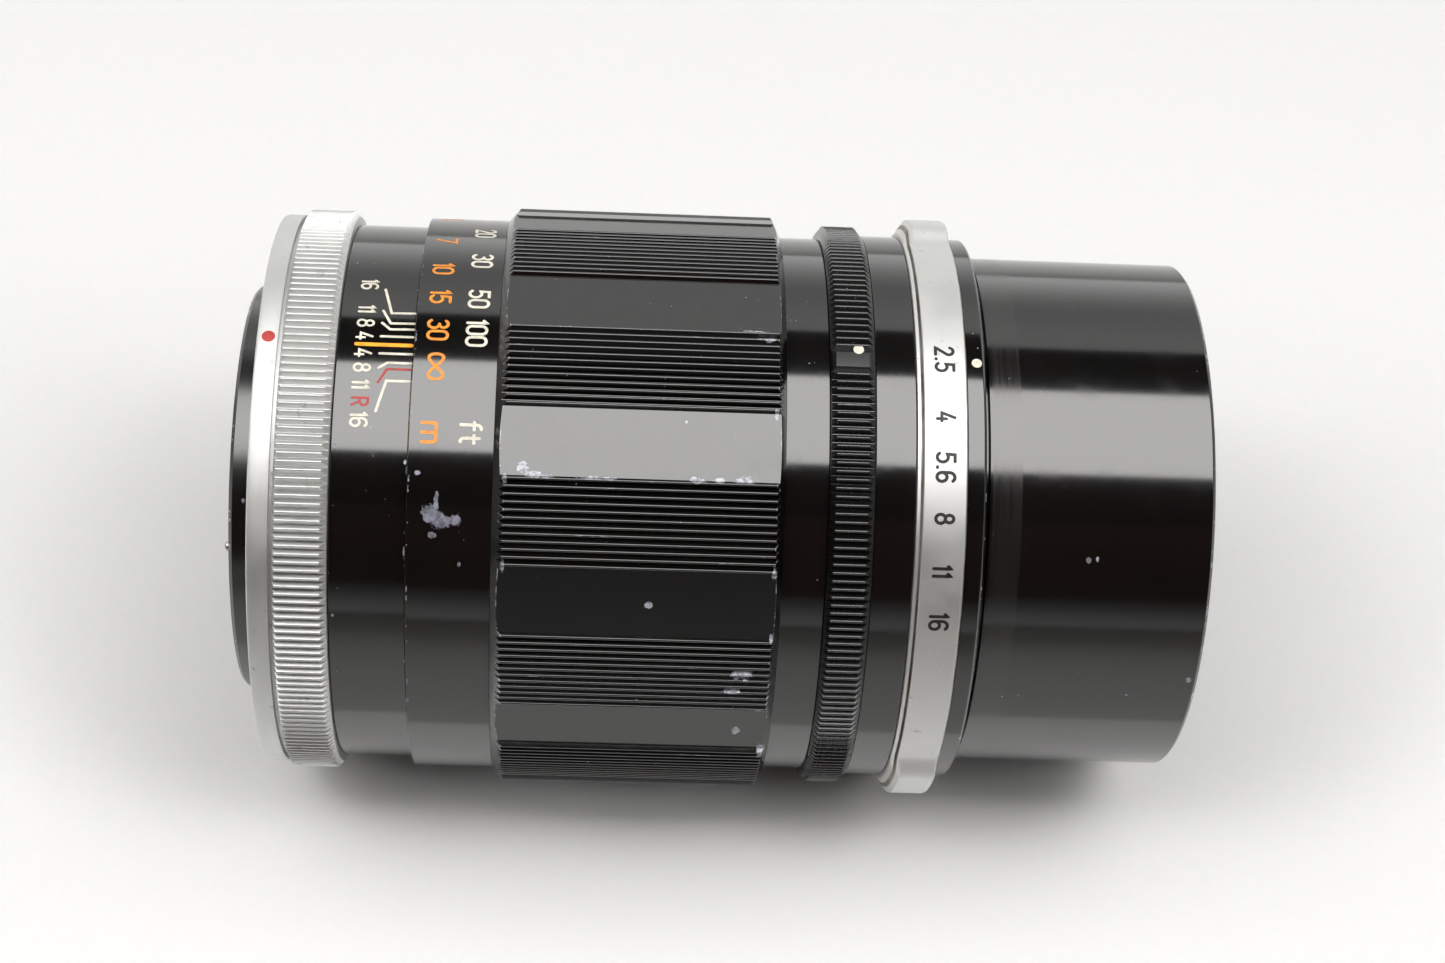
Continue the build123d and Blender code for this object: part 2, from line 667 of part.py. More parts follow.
def aperture_ring():
    """The plated ring with two finger ears, a lip at its rear edge, and click dimples inside."""
    groove_start = APERTURE_REAR + 0.45
    band_start = groove_start + 0.25
    ear_root_r = APERTURE_GROOVE_R - 0.5
    body = turned((APERTURE_REAR, RING_BORE_R), (APERTURE_FRONT, RING_BORE_R),
                  (APERTURE_FRONT, APERTURE_R - 0.2), (APERTURE_FRONT - 0.2, APERTURE_R),
                  (band_start, APERTURE_R), (band_start, APERTURE_GROOVE_R),
                  (groove_start, APERTURE_GROOVE_R), (groove_start, APERTURE_LIP_R),
                  (APERTURE_REAR, APERTURE_LIP_R))
    for angle in EAR_ANGLES:
        body += turned((APERTURE_REAR, ear_root_r), (APERTURE_FRONT - 0.2, ear_root_r),
                       (APERTURE_FRONT - 0.2, EAR_R - 0.2), (APERTURE_FRONT - 0.4, EAR_R),
                       (EAR_BACK, EAR_R), (APERTURE_REAR, APERTURE_R),
                       arc=EAR_ARC, start=angle - EAR_ARC / 2)
    body -= ring(CLICK_X - 0.9, CLICK_X + 0.9, RING_BORE_R - 0.1, BALL_CENTRE_R + BALL_R + 0.15,
                 APERTURE_TRAVEL + 8, BALL_ANGLE - 4)
    for i in range(CLICK_COUNT):
        dimple_angle = BALL_ANGLE + APERTURE_TRAVEL * i / (CLICK_COUNT - 1)
        body -= around(dimple_angle) * Pos(CLICK_X, 0, BALL_CENTRE_R + 0.25) * Sphere(BALL_R)
    return body - drive_screw_space()


def drive_screw_space():
    return radial_pin(DRIVE_SCREW_X, TAB_R[0], APERTURE_R - 0.8, DRIVE_SCREW_R, TAB_ANGLE)


def aperture_drive_screw():
    return drive_screw_space()


# ---- Iris

def blade_pin(turn):
    """Centre of a blade's drive pin in the plane across the axis, when the blade has turned."""
    angle = radians(CRANK_ANGLE + turn)
    return Vector(PIVOT_R + CRANK_LENGTH * cos(angle), CRANK_LENGTH * sin(angle))


def iris_blade(number):
    """A crescent blade with its pivot pin behind and its drive pin in front, on its own level."""
    level = FIRST_LEVEL + BLADE_LEVEL * number
    crank_pin = blade_pin(0)
    crescent = Circle(BLADE_OUTER_R) - Circle(BLADE_INNER_R)
    crescent &= sector(0, BLADE_ARC)
    eye = Pos(PIVOT_R, 0) * Circle(1.3)
    crank = Pos(crank_pin.X, crank_pin.Y) * Circle(0.9)
    middle = (Vector(PIVOT_R, 0) + crank_pin) * 0.5
    bridge = Pos(middle.X, middle.Y) * Rot(0, 0, CRANK_ANGLE) * Rectangle(CRANK_LENGTH, 1.8)
    neck = Pos(PIVOT_R - 1.2, 1.5) * Rectangle(2.4, 3.0)
    plate = extrude(across(level) * (crescent + eye + crank + bridge + neck), BLADE_THICK)
    pivot = axial_pin(HOUSING_REAR + 0.2, level + BLADE_THICK, PIN_R, PIVOT_R)
    drive_spot = across(level) * Pos(crank_pin.X, crank_pin.Y)
    drive = extrude(drive_spot * Circle(PIN_R), DRIVE_FRONT - 0.1 - level)
    return around(blade_angle(number)) * (plate + pivot + drive)


def sector(start, end):
    """A wide plane wedge between two clock angles."""
    reach = 40
    count = 5
    rim = []
    for i in range(count):
        angle = radians(start + (end - start) * i / (count - 1))
        rim.append((reach * cos(angle), reach * sin(angle)))
    return make_face(Polyline((0, 0), *rim, close=True))


def blade_angle(number):
    return 360 * number / BLADE_COUNT


def cam_slot():
    """Plane outline of one slot: the path of a drive pin seen from the turning drive ring."""
    samples = 9
    path = []
    for i in range(samples):
        turn = BLADE_TRAVEL * i / (samples - 1)
        path.append(blade_pin(turn).rotate(Axis.Z, turn / BLADE_RATIO))
    line = Spline(*path)
    left = []
    right = []
    for i in range(samples):
        t = i / (samples - 1)
        normal = (line % t).rotate(Axis.Z, 90)
        left.append(line @ t + normal * PIN_HOLE_R)
        right.append(line @ t - normal * PIN_HOLE_R)
    head = ThreePointArc(left[-1], line @ 1 + (line % 1) * PIN_HOLE_R, right[-1])
    tail = ThreePointArc(right[0], line @ 0 - (line % 0) * PIN_HOLE_R, left[0])
    return make_face([Spline(*left), head, Spline(*right[::-1]), tail])


def iris_drive_ring():
    """Ring whose eight cam slots turn the blades, with a tab that reaches to the aperture ring."""
    plate = Circle(DRIVE_R) - Circle(DRIVE_BORE_R)
    for number in range(BLADE_COUNT):
        plate -= Rot(0, 0, blade_angle(number)) * cam_slot()
    body = extrude(across(DRIVE_REAR) * plate, DRIVE_FRONT - DRIVE_REAR)
    body += ring(DRIVE_REAR, TAB_END, TAB_R[0], TAB_R[1], 8, TAB_ANGLE - 4) - cam_shadow()
    return body - drive_screw_space()


def cam_shadow():
    """Keeps the tab off the thickness of the drive ring, where the slots are."""
    return ring(DRIVE_REAR - 1, DRIVE_FRONT, TAB_R[0] - 1, TAB_R[1] + 1)


def iris_housing():
    """Cup that holds the blades; its floor has the pivot holes."""
    body = turned((HOUSING_REAR, WINDOW_R), (HOUSING_FLOOR, WINDOW_R), (HOUSING_FLOOR, HOUSING_BORE_R),
                  (HOUSING_FRONT, HOUSING_BORE_R), (HOUSING_FRONT, FRONT_BARREL_BORE_R),
                  (HOUSING_REAR, FRONT_BARREL_BORE_R))
    for number in range(BLADE_COUNT):
        body -= axial_pin(HOUSING_REAR - 1, HOUSING_FLOOR + 1, PIN_HOLE_R, PIVOT_R, blade_angle(number))
    for angle in CELL_SCREW_ANGLES:
        body -= cell_screw(angle)
    return body - ring(DRIVE_FRONT + 0.2, DRIVE_FRONT + 1.0, HOUSING_BORE_R - 0.1, HOUSING_BORE_R + 0.3)


def iris_circlip():
    """Open spring ring that keeps the drive ring in its cup and leaves the tab room to swing."""
    gap = APERTURE_TRAVEL + 16
    return ring(DRIVE_FRONT + 0.2, DRIVE_FRONT + 1.0, 27.2, HOUSING_BORE_R + 0.3, 360 - gap, TAB_ANGLE + 8)


# ---- Automatic stop-down linkage

def stop_down_ring():
    """Ring on the hub that carries the camera's lever pin and the long rod."""
    body = ring(LEVER_REAR, LEVER_FRONT, HUB_R + RUN, LEVER_R)
    return body - axial_pin(LEVER_REAR, LEVER_FRONT, ROD_R, ROD_CENTRE_R, ROD_ANGLE)


def stop_down_pin():
    """The bright pin that the camera pushes."""
    pin = axial_pin(LEVER_PIN_END, LEVER_REAR, 0.6, LEVER_PIN_R, LEVER_PIN_ANGLE)
    return fillet(pin.edges().sort_by(Axis.X)[:1], 0.3)


def stop_down_rod():
    return axial_pin(LEVER_REAR, ROD_END, ROD_R, ROD_CENTRE_R, ROD_ANGLE)


def stop_down_fork():
    """Ring with two rails that take the rod's turning to the iris at every focusing distance."""
    body = ring(FORK_RING[0], FORK_RING[1], REAR_CELL_R + RUN, FORK_RING_R)
    length = FORK_RING[0] - FORK_REAR
    height = RAIL_R[1] - RAIL_R[0]
    for side in (-1, 1):
        rail = Pos(FORK_REAR + length / 2, side * (RAIL_GAP + RAIL_WIDTH) / 2, (RAIL_R[0] + RAIL_R[1]) / 2)
        body += around(ROD_ANGLE) * rail * Box(length + 0.4, RAIL_WIDTH, height)
    return body


# ---- Write one file for each piece

PIECES = {
    "mount_flange": mount_flange,
    "mount_screws": mount_screws,
    "locating_pin": locating_pin,
    "rear_guard": rear_guard,
    "rear_baffle": rear_baffle,
    "lever_circlip": lever_circlip,
    "lever_spring": lever_spring,
    "main_barrel": main_barrel,
    "guide_keys": guide_keys,
    "key_screws": key_screws,
    "focus_retaining_ring": focus_retaining_ring,
    "breech_ring": breech_ring,
    "breech_lug_ring": breech_lug_ring,
    "lug_ring_screws": lug_ring_screws,
    "distance_scale_ring": distance_scale_ring,
    "focus_grip": focus_grip,
    "focus_helicoid": focus_helicoid,
    "focus_stop_pin": focus_stop_pin,
    "grip_screws": grip_screws,
    "helicoid_barrel": helicoid_barrel,
    "front_barrel": front_barrel,
    "barrel_screws": barrel_screws,
    "middle_collar": middle_collar,
    "collar_screws": collar_screws,
    "index_ring": index_ring,
    "front_tube": front_tube,
    "front_bezel": front_bezel,
    "front_cell": front_cell,
    "front_retaining_ring": front_retaining_ring,
    "front_element": front_element,
    "second_element": second_element,
    "third_element": third_element,
    "fourth_element": fourth_element,
    "fifth_element": fifth_element,
    "sixth_element": sixth_element,
    "rear_cell": rear_cell,
    "rear_cell_screws": rear_cell_screws,
    "fourth_retaining_ring": fourth_retaining_ring,
    "rear_spacer": rear_spacer,
    "rear_retaining_ring": rear_retaining_ring,
    "click_ball": click_ball,
    "click_spring": click_spring,
    "iris_housing": iris_housing,
    "iris_circlip": iris_circlip,
    "mode_ring": mode_ring,
    "aperture_ring": aperture_ring,
    "aperture_drive_screw": aperture_drive_screw,
    "iris_drive_ring": iris_drive_ring,
    "stop_down_ring": stop_down_ring,
    "stop_down_pin": stop_down_pin,
    "stop_down_rod": stop_down_rod,
    "stop_down_fork": stop_down_fork,
}

os.makedirs("parts", exist_ok=True)
for name, make in PIECES.items():
    export_step(make(), f"parts/{name}.step")
for number in range(BLADE_COUNT):
    export_step(iris_blade(number), f"parts/iris_blade_{number + 1}.step")
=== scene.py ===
import json
import math

import bmesh
import bpy
from mathutils import Matrix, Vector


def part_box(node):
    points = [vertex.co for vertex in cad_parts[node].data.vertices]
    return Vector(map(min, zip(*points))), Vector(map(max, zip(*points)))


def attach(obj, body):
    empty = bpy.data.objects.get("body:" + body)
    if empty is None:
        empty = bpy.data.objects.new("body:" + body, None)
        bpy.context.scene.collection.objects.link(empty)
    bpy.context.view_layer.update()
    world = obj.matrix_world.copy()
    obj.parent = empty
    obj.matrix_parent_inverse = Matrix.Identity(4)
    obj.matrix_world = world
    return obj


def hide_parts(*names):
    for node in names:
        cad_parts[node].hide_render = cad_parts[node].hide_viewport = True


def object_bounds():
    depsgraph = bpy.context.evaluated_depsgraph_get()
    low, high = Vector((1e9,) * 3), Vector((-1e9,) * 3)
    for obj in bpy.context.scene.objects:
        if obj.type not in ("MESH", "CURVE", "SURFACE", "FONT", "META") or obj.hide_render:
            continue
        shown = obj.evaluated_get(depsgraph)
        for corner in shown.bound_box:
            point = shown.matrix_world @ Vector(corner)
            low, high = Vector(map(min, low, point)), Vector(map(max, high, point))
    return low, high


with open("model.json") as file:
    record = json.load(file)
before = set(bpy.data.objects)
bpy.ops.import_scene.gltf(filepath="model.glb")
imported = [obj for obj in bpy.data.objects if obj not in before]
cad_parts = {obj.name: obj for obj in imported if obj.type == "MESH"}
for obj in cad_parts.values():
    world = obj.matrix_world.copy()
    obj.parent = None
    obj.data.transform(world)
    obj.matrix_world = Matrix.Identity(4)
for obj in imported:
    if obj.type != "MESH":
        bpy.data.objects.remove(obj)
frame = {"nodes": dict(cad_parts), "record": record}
CAD_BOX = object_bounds()

# A short telephoto lens for a breech-lock mount. Lengths are millimetres and angles are degrees. X is the
# optical axis from the mount to the front rim, and a clock angle runs from the top, right-handed about X.
MM = 0.001
ROUND = 360
STEPS = 360
INDEX = 9.65
GRIP_STEP = 30.0
GRIP_FLATS = 12


# ---- Stations and radii from the frame

def span(node):
    """(rear, front) of a CAD piece along the axis."""
    low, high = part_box(node)
    return low[0] / MM, high[0] / MM


def radius(node):
    """Outer radius of a round CAD piece."""
    low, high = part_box(node)
    return max(high[1], -low[1]) / MM


BREECH_REAR, BREECH_FRONT = span("breech_ring")
BARREL_REAR = BREECH_FRONT + 0.1
BARREL_FRONT = 15.0
BARREL_R = radius("main_barrel")
SCALE_REAR, SCALE_FRONT = span("distance_scale_ring")
SCALE_R = radius("distance_scale_ring")
GRIP_REAR, GRIP_FRONT = span("focus_grip")
GRIP_R = 34.0
MODE_REAR, MODE_FRONT = span("mode_ring")
MODE_R = radius("mode_ring")
COLLAR_REAR, COLLAR_FRONT = span("middle_collar")
COLLAR_R = radius("middle_collar")
APERTURE_REAR, APERTURE_FRONT = span("aperture_ring")
APERTURE_R = 32.75
EAR_R = 34.35
INDEX_REAR, INDEX_FRONT = span("index_ring")
INDEX_R = radius("index_ring")
TUBE_R = radius("front_tube")
TUBE_REAR = 78.46
TUBE_FRONT = span("front_tube")[1]
HELICOID_R = 30.1
HELICOID_FLANGE_END = 18.0
RING_BORE_R = 30.5
RING_SEAT_R = 30.45


# ---- Meshes

def at(x, r, angle):
    """A point at a station, radius and clock angle, in metres."""
    turn = math.radians(angle)
    return (x * MM, -r * math.sin(turn) * MM, r * math.cos(turn) * MM)


def dress(obj, body, material, nodes=()):
    """Give a new piece its body, its material and the CAD nodes it stands for."""
    obj.data.materials.append(material)
    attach(obj, body)
    if nodes:
        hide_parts(*nodes)
    return obj


def mesh_piece(name, points, faces, crease=35):
    """A closed smooth-shaded mesh whose hard edges are the ones sharper than crease."""
    mesh = bpy.data.meshes.new(name)
    mesh.from_pydata(points, [], faces)
    shape = bmesh.new()
    shape.from_mesh(mesh)
    bmesh.ops.recalc_face_normals(shape, faces=shape.faces)
    shape.to_mesh(mesh)
    shape.free()
    mesh.shade_smooth()
    mesh.set_sharp_from_angle(angle=math.radians(crease))
    obj = bpy.data.objects.new(name, mesh)
    bpy.context.scene.collection.objects.link(obj)
    shading = obj.modifiers.new("face_weighted_normals", "WEIGHTED_NORMAL")
    shading.keep_sharp = True
    return obj


def skin(name, columns, angles, crease=35):
    """Join closed (x, r) loops, one at each clock angle, into a ring-shaped piece."""
    rows = len(columns[0])
    count = len(columns)
    points = [at(x, r, angle) for column, angle in zip(columns, angles) for x, r in column]
    faces = []
    for j in range(count):
        following = (j + 1) % count
        for i in range(rows):
            above = (i + 1) % rows
            faces.append((j * rows + i, j * rows + above, following * rows + above, following * rows + i))
    return mesh_piece(name, points, faces, crease)


def eased(outline, size):
    """Round the corners of a closed (x, r) outline, as a deburring tool leaves them."""
    result = []
    count = len(outline)
    for i in range(count):
        before, here, after = outline[i - 1], outline[i], outline[(i + 1) % count]
        back = math.dist(before, here)
        ahead = math.dist(here, after)
        turn = (here[0] - before[0]) * (after[0] - here[0]) + (here[1] - before[1]) * (after[1] - here[1])
        if turn / (back * ahead) > 0.97:
            result.append(here)
            continue
        reach = min(size, 0.4 * back, 0.4 * ahead)
        start = [h + (b - h) * reach / back for h, b in zip(here, before)]
        end = [h + (a - h) * reach / ahead for h, a in zip(here, after)]
        for step in range(4):
            t = step / 3
            weights = ((1 - t) ** 2, 2 * t * (1 - t), t * t)
            result.append(tuple(weights[0] * s + weights[1] * h + weights[2] * e
                                for s, h, e in zip(start, here, end)))
    return result


def turned(name, outline, ease=0.08, steps=STEPS):
    """Turn a closed (x, r) outline round the axis, with its corners rounded."""
    column = eased(outline, ease)
    angles = [ROUND * j / steps for j in range(steps)]
    return skin(name, [column] * steps, angles)


def dome(vertex, curve, height, steps=24):
    """(x, r) points of a polished surface from its rim in to the axis; a curve of 0 is flat."""
    points = []
    for i in range(steps, 0, -1):
        r = height * i / steps
        sag = curve - math.copysign(math.sqrt(curve * curve - r * r), curve) if curve else 0.0
        points.append((vertex - sag, r))
    return points


def glass_piece(name, front, rear, rim_r, steps=180):
    """A lens element from its two surfaces, each given as vertex, curve and polished height."""
    rim = [(dome(*front)[0][0], rim_r), (dome(*rear)[0][0], rim_r)]
    outline = dome(*front)[::-1] + eased_rim(rim) + dome(*rear)
    rows = len(outline)
    points = [at(x, r, ROUND * j / steps) for j in range(steps) for x, r in outline]
    front_pole = len(points)
    points.append(at(front[0], 0, 0))
    points.append(at(rear[0], 0, 0))
    faces = []
    for j in range(steps):
        following = (j + 1) % steps
        for i in range(rows - 1):
            faces.append((j * rows + i, j * rows + i + 1, following * rows + i + 1, following * rows + i))
        faces.append((j * rows, following * rows, front_pole))
        faces.append((j * rows + rows - 1, following * rows + rows - 1, front_pole + 1))
    return mesh_piece(name, points, faces)


def eased_rim(rim):
    """The ground edge of an element with its two small safety bevels."""
    (front_x, r), (rear_x, _) = rim
    lean = math.copysign(0.15, front_x - rear_x)
    return [(front_x, r - 0.15), (front_x - lean, r), (rear_x + lean, r), (rear_x, r - 0.15)]


# ---- Knurled rings

def along(r, foot, shoulder):
    """The station on a chamfer, from its foot to its shoulder, where it reaches radius r."""
    return foot[0] + (r - foot[1]) * (shoulder[0] - foot[0]) / (shoulder[1] - foot[1])


def knurled(name, inner, rear, front, columns):
    """A ring with axial grooves that run out through its chamfers.

    inner is the outline from the front chamfer's foot round the bore to the rear chamfer's foot, rear and
    front are (foot, shoulder) pairs, and columns are the (clock angle, radius) corners of the grooves."""
    loops = []
    for _, r in columns:
        loops.append(inner + [rear[0], (along(r, *rear), r), (along(r, *front), r), front[0]])
    return skin(name, loops, [angle for angle, _ in columns], crease=40)


def tooth(centre, pitch, top_r, depth, crest=0.19):
    """(clock angle, radius) corners of one V-grooved ridge; crest is the radius of its rounded top."""
    half_root = pitch / 2 - math.degrees(0.03 / top_r)
    corners = [(centre - half_root, top_r - depth)]
    for lean in (-60, -30, 0, 30, 60):
        turn = math.radians(lean)
        offset = math.degrees(crest * math.sin(turn) / top_r)
        corners.append((centre + offset, top_r - crest * (1 - math.cos(turn))))
    return corners + [(centre + half_root, top_r - depth)]


def knurl(count, top_r, depth, start=0.0, smooth=None):
    """Ridges all round; smooth is a (first, last) stretch of clock angles left plain."""
    pitch = ROUND / count
    columns = []
    for i in range(count):
        centre = start + i * pitch
        if smooth and smooth[0] < centre < smooth[1]:
            columns.append((centre, top_r - 0.1))
        else:
            columns += tooth(centre, pitch, top_r, depth)
    return columns


def grip_columns():
    """Twelve lands of twelve ridges, with a plane flat between each two lands."""
    flat_height = 33.3
    half_flat = 6.6
    ridge_pitch = 1.45
    ridges = 12
    columns = []
    for land in range(GRIP_FLATS):
        flat_centre = land * GRIP_STEP
        for i in range(9):
            offset = half_flat * (i / 4 - 1)
            columns.append((flat_centre + offset, flat_height / math.cos(math.radians(offset))))
        middle = flat_centre + GRIP_STEP / 2
        for i in range(ridges):
            centre = middle + (i - (ridges - 1) / 2) * ridge_pitch
            columns += tooth(centre, ridge_pitch, GRIP_R, 0.68)
    return columns


# ---- Engraved and filled marks

def bow(cx, cy, rx, ry, start, end, steps=14):
    """Points of an elliptic arc, counter-clockwise from start to end."""
    angles = [math.radians(start + (end - start) * i / steps) for i in range(steps + 1)]
    return [(cx + rx * math.cos(a), cy + ry * math.sin(a)) for a in angles]


OVAL = bow(0.25, 0.75, 0.25, 0.25, 0, 180, 10) + bow(0.25, 0.25, 0.25, 0.25, 180, 360, 10)
INFINITY = [(0.7 + 0.7 * math.sin(t * math.pi / 24), 0.36 + 0.36 * math.sin(t * math.pi / 12))
            for t in range(48)]
M_ARCH = [(0.0, 0.84), (0.42, 0.84)] + bow(0.42, 0.69, 0.15, 0.15, 90, 0, 5) + [(0.57, 0.0)]
R_BOWL = bow(0.24, 0.75, 0.24, 0.25, 90, -90, 8)

# Single-stroke letters one unit high: (width, strokes), and a stroke is (is closed, points)
STROKES = {
    "0": (0.5, [(True, OVAL)]),
    "1": (0.16, [(False, [(0.0, 0.82), (0.14, 1.0), (0.14, 0.0)])]),
    "2": (0.5, [(False, bow(0.25, 0.75, 0.24, 0.25, 165, -25) + [(0.02, 0.0), (0.5, 0.0)])]),
    "3": (0.5, [(False, bow(0.23, 0.77, 0.23, 0.23, 150, -75)),
                (False, bow(0.23, 0.28, 0.26, 0.28, 90, -150))]),
    "4": (0.52, [(False, [(0.3, 1.0), (0.02, 0.26), (0.52, 0.26)]), (False, [(0.38, 0.52), (0.38, 0.0)])]),
    "5": (0.5, [(False, [(0.46, 1.0), (0.07, 1.0), (0.04, 0.56)] + bow(0.22, 0.31, 0.27, 0.31, 118, -145))]),
    "6": (0.5, [(True, bow(0.25, 0.28, 0.25, 0.28, 0, 342, 18)),
                (False, bow(0.27, 0.7, 0.27, 0.3, 40, 180) + [(0.0, 0.3)])]),
    "7": (0.5, [(False, [(0.0, 1.0), (0.5, 1.0), (0.16, 0.0)])]),
    "8": (0.5, [(True, bow(0.25, 0.76, 0.21, 0.24, 0, 342, 18)),
                (True, bow(0.25, 0.27, 0.25, 0.27, 0, 342, 18))]),
    ".": (0.04, [(False, [(0.0, 0.02), (0.04, 0.02)])]),
    "m": (1.14, [(False, [(0.0, 0.0), (0.0, 0.84)]), (False, M_ARCH),
                 (False, [(u + 0.57, v) for u, v in M_ARCH])]),
    "f": (0.42, [(False, [(0.14, 0.0), (0.14, 0.78)] + bow(0.34, 0.78, 0.2, 0.22, 180, 85, 6)),
                 (False, [(0.0, 0.66), (0.38, 0.66)])]),
    "t": (0.42, [(False, [(0.14, 0.92), (0.14, 0.2)] + bow(0.32, 0.2, 0.18, 0.2, 180, 275, 6)),
                 (False, [(0.0, 0.66), (0.38, 0.66)])]),
    "R": (0.48, [(False, [(0.0, 0.0), (0.0, 1.0), (0.24, 1.0)] + R_BOWL + [(0.0, 0.5)]),
                 (False, [(0.22, 0.5), (0.48, 0.0)])]),
    "~": (1.4, [(True, INFINITY)]),
}


def refined(line, closed, step):
    """Add points so that no run of a line is longer than step."""
    ends = line[1:] + line[:1] if closed else line[1:]
    points = []
    for here, there in zip(line, ends):
        parts = max(1, math.ceil(math.dist(here, there) / step))
        for i in range(parts):
            points.append(tuple(h + (t - h) * i / parts for h, t in zip(here, there)))
    return points if closed else points + [line[-1]]


def stroke_sides(line, closed, half):
    """Left and right points of a stroke, mitred at its corners."""
    count = len(line)
    left = []
    right = []
    for i, here in enumerate(line):
        before = line[i - 1] if i or closed else here
        after = line[(i + 1) % count] if i < count - 1 or closed else here
        into = math.atan2(here[1] - before[1], here[0] - before[0]) if before != here else None
        out = math.atan2(after[1] - here[1], after[0] - here[0]) if after != here else None
        into = out if into is None else into
        out = into if out is None else out
        bend = math.remainder(out - into, math.tau)
        heading = into + bend / 2 + math.pi / 2
        width = half / max(0.6, math.cos(bend / 2))
        left.append((here[0] + width * math.cos(heading), here[1] + width * math.sin(heading)))
        right.append((here[0] - width * math.cos(heading), here[1] - width * math.sin(heading)))
    return left, right


def capped(line, half):
    """The line with points added past both ends, where its width closes to a round end."""
    def beyond(end, inside):
        length = math.dist(end, inside)
        return [(end[0] + (end[0] - inside[0]) / length * half * f,
                 end[1] + (end[1] - inside[1]) / length * half * f) for f in (0.5, 0.87)]
    return beyond(line[0], line[1])[::-1] + line + beyond(line[-1], line[-2])


class Marks:
    """Paint strokes wrapped on a cylinder, gathered into one piece."""

    def __init__(self, r, height=0.016):
        self.r = r
        self.height = height
        self.points = []
        self.faces = []
        self.layer = 0

    def wrap(self, point, lift):
        u, v = point
        return at(v, self.r + lift, math.degrees(u / self.r))

    def solid(self, left, right, closed):
        """One closed ribbon: a top, a bottom sunk in the metal, two sides and, if open, two ends."""
        self.layer = (self.layer + 1) % 3
        top = self.height + 0.002 * self.layer
        base = len(self.points)
        for a, b in zip(left, right):
            self.points += [self.wrap(a, top), self.wrap(b, top), self.wrap(b, -0.05), self.wrap(a, -0.05)]
        count = len(left)
        for i in range(count if closed else count - 1):
            here = base + 4 * i
            there = base + 4 * ((i + 1) % count)
            for k in range(4):
                following = (k + 1) % 4
                self.faces.append((here + k, here + following, there + following, there + k))
        if not closed:
            last = base + 4 * (count - 1)
            self.faces.append((base + 3, base + 2, base + 1, base))
            self.faces.append((last, last + 1, last + 2, last + 3))

    def stroke(self, line, width, closed=False):
        """A line of (arc length, station) points drawn with a round tool."""
        half = width / 2
        line = refined(line, closed, 0.35)
        if closed:
            self.solid(*stroke_sides(line, True, half), True)
            return
        longer = capped(line, half)
        left, right = stroke_sides(longer, False, half)
        for i, share in ((0, 0.45), (1, 0.86), (-2, 0.86), (-1, 0.45)):
            middle = longer[i]
            left[i] = tuple(m + (p - m) * share for m, p in zip(middle, left[i]))
            right[i] = tuple(m + (p - m) * share for m, p in zip(middle, right[i]))
        self.solid(left, right, False)

    def text(self, word, x, angle, height, width, gap=0.19):
        """A word whose tops point along +X, centred on a station and a clock angle."""
        widths = [STROKES[letter][0] for letter in word]
        start = -(sum(widths) + gap * (len(word) - 1)) / 2
        centre = math.radians(angle) * self.r
        for letter, letter_width in zip(word, widths):
            for closed, line in STROKES[letter][1]:
                placed = [(centre + (start + u) * height, x + (v - 0.5) * height) for u, v in line]
                self.stroke(placed, width, closed)
            start += letter_width + gap

    def line(self, places, width):
        """A scale line through (station, clock angle) places."""
        self.stroke([(math.radians(angle) * self.r, x) for x, angle in places], width)

    def disc(self, x, angle, size, steps=40):
        """A round paint spot, slightly crowned."""
        centre = math.radians(angle) * self.r
        base = len(self.points)
        rings = ((0.5, self.height), (0.42, self.height + 0.02), (0.22, self.height + 0.035), (0.5, -0.05))
        for share, lift in rings:
            for i in range(steps):
                a = math.tau * i / steps
                place = (centre + share * size * math.cos(a), x + share * size * math.sin(a))
                self.points.append(self.wrap(place, lift))
        for i in range(steps):
            following = (i + 1) % steps
            for low, high in ((3, 0), (0, 1), (1, 2)):
                self.faces.append((base + low * steps + i, base + low * steps + following,
                                   base + high * steps + following, base + high * steps + i))
        self.faces.append([base + 2 * steps + i for i in range(steps)])
        self.faces.append([base + 3 * steps + i for i in reversed(range(steps))])

    def piece(self, name, body, slot, material):
        return dress(mesh_piece(name, self.points, self.faces, 50), body, material)


# ---- Materials

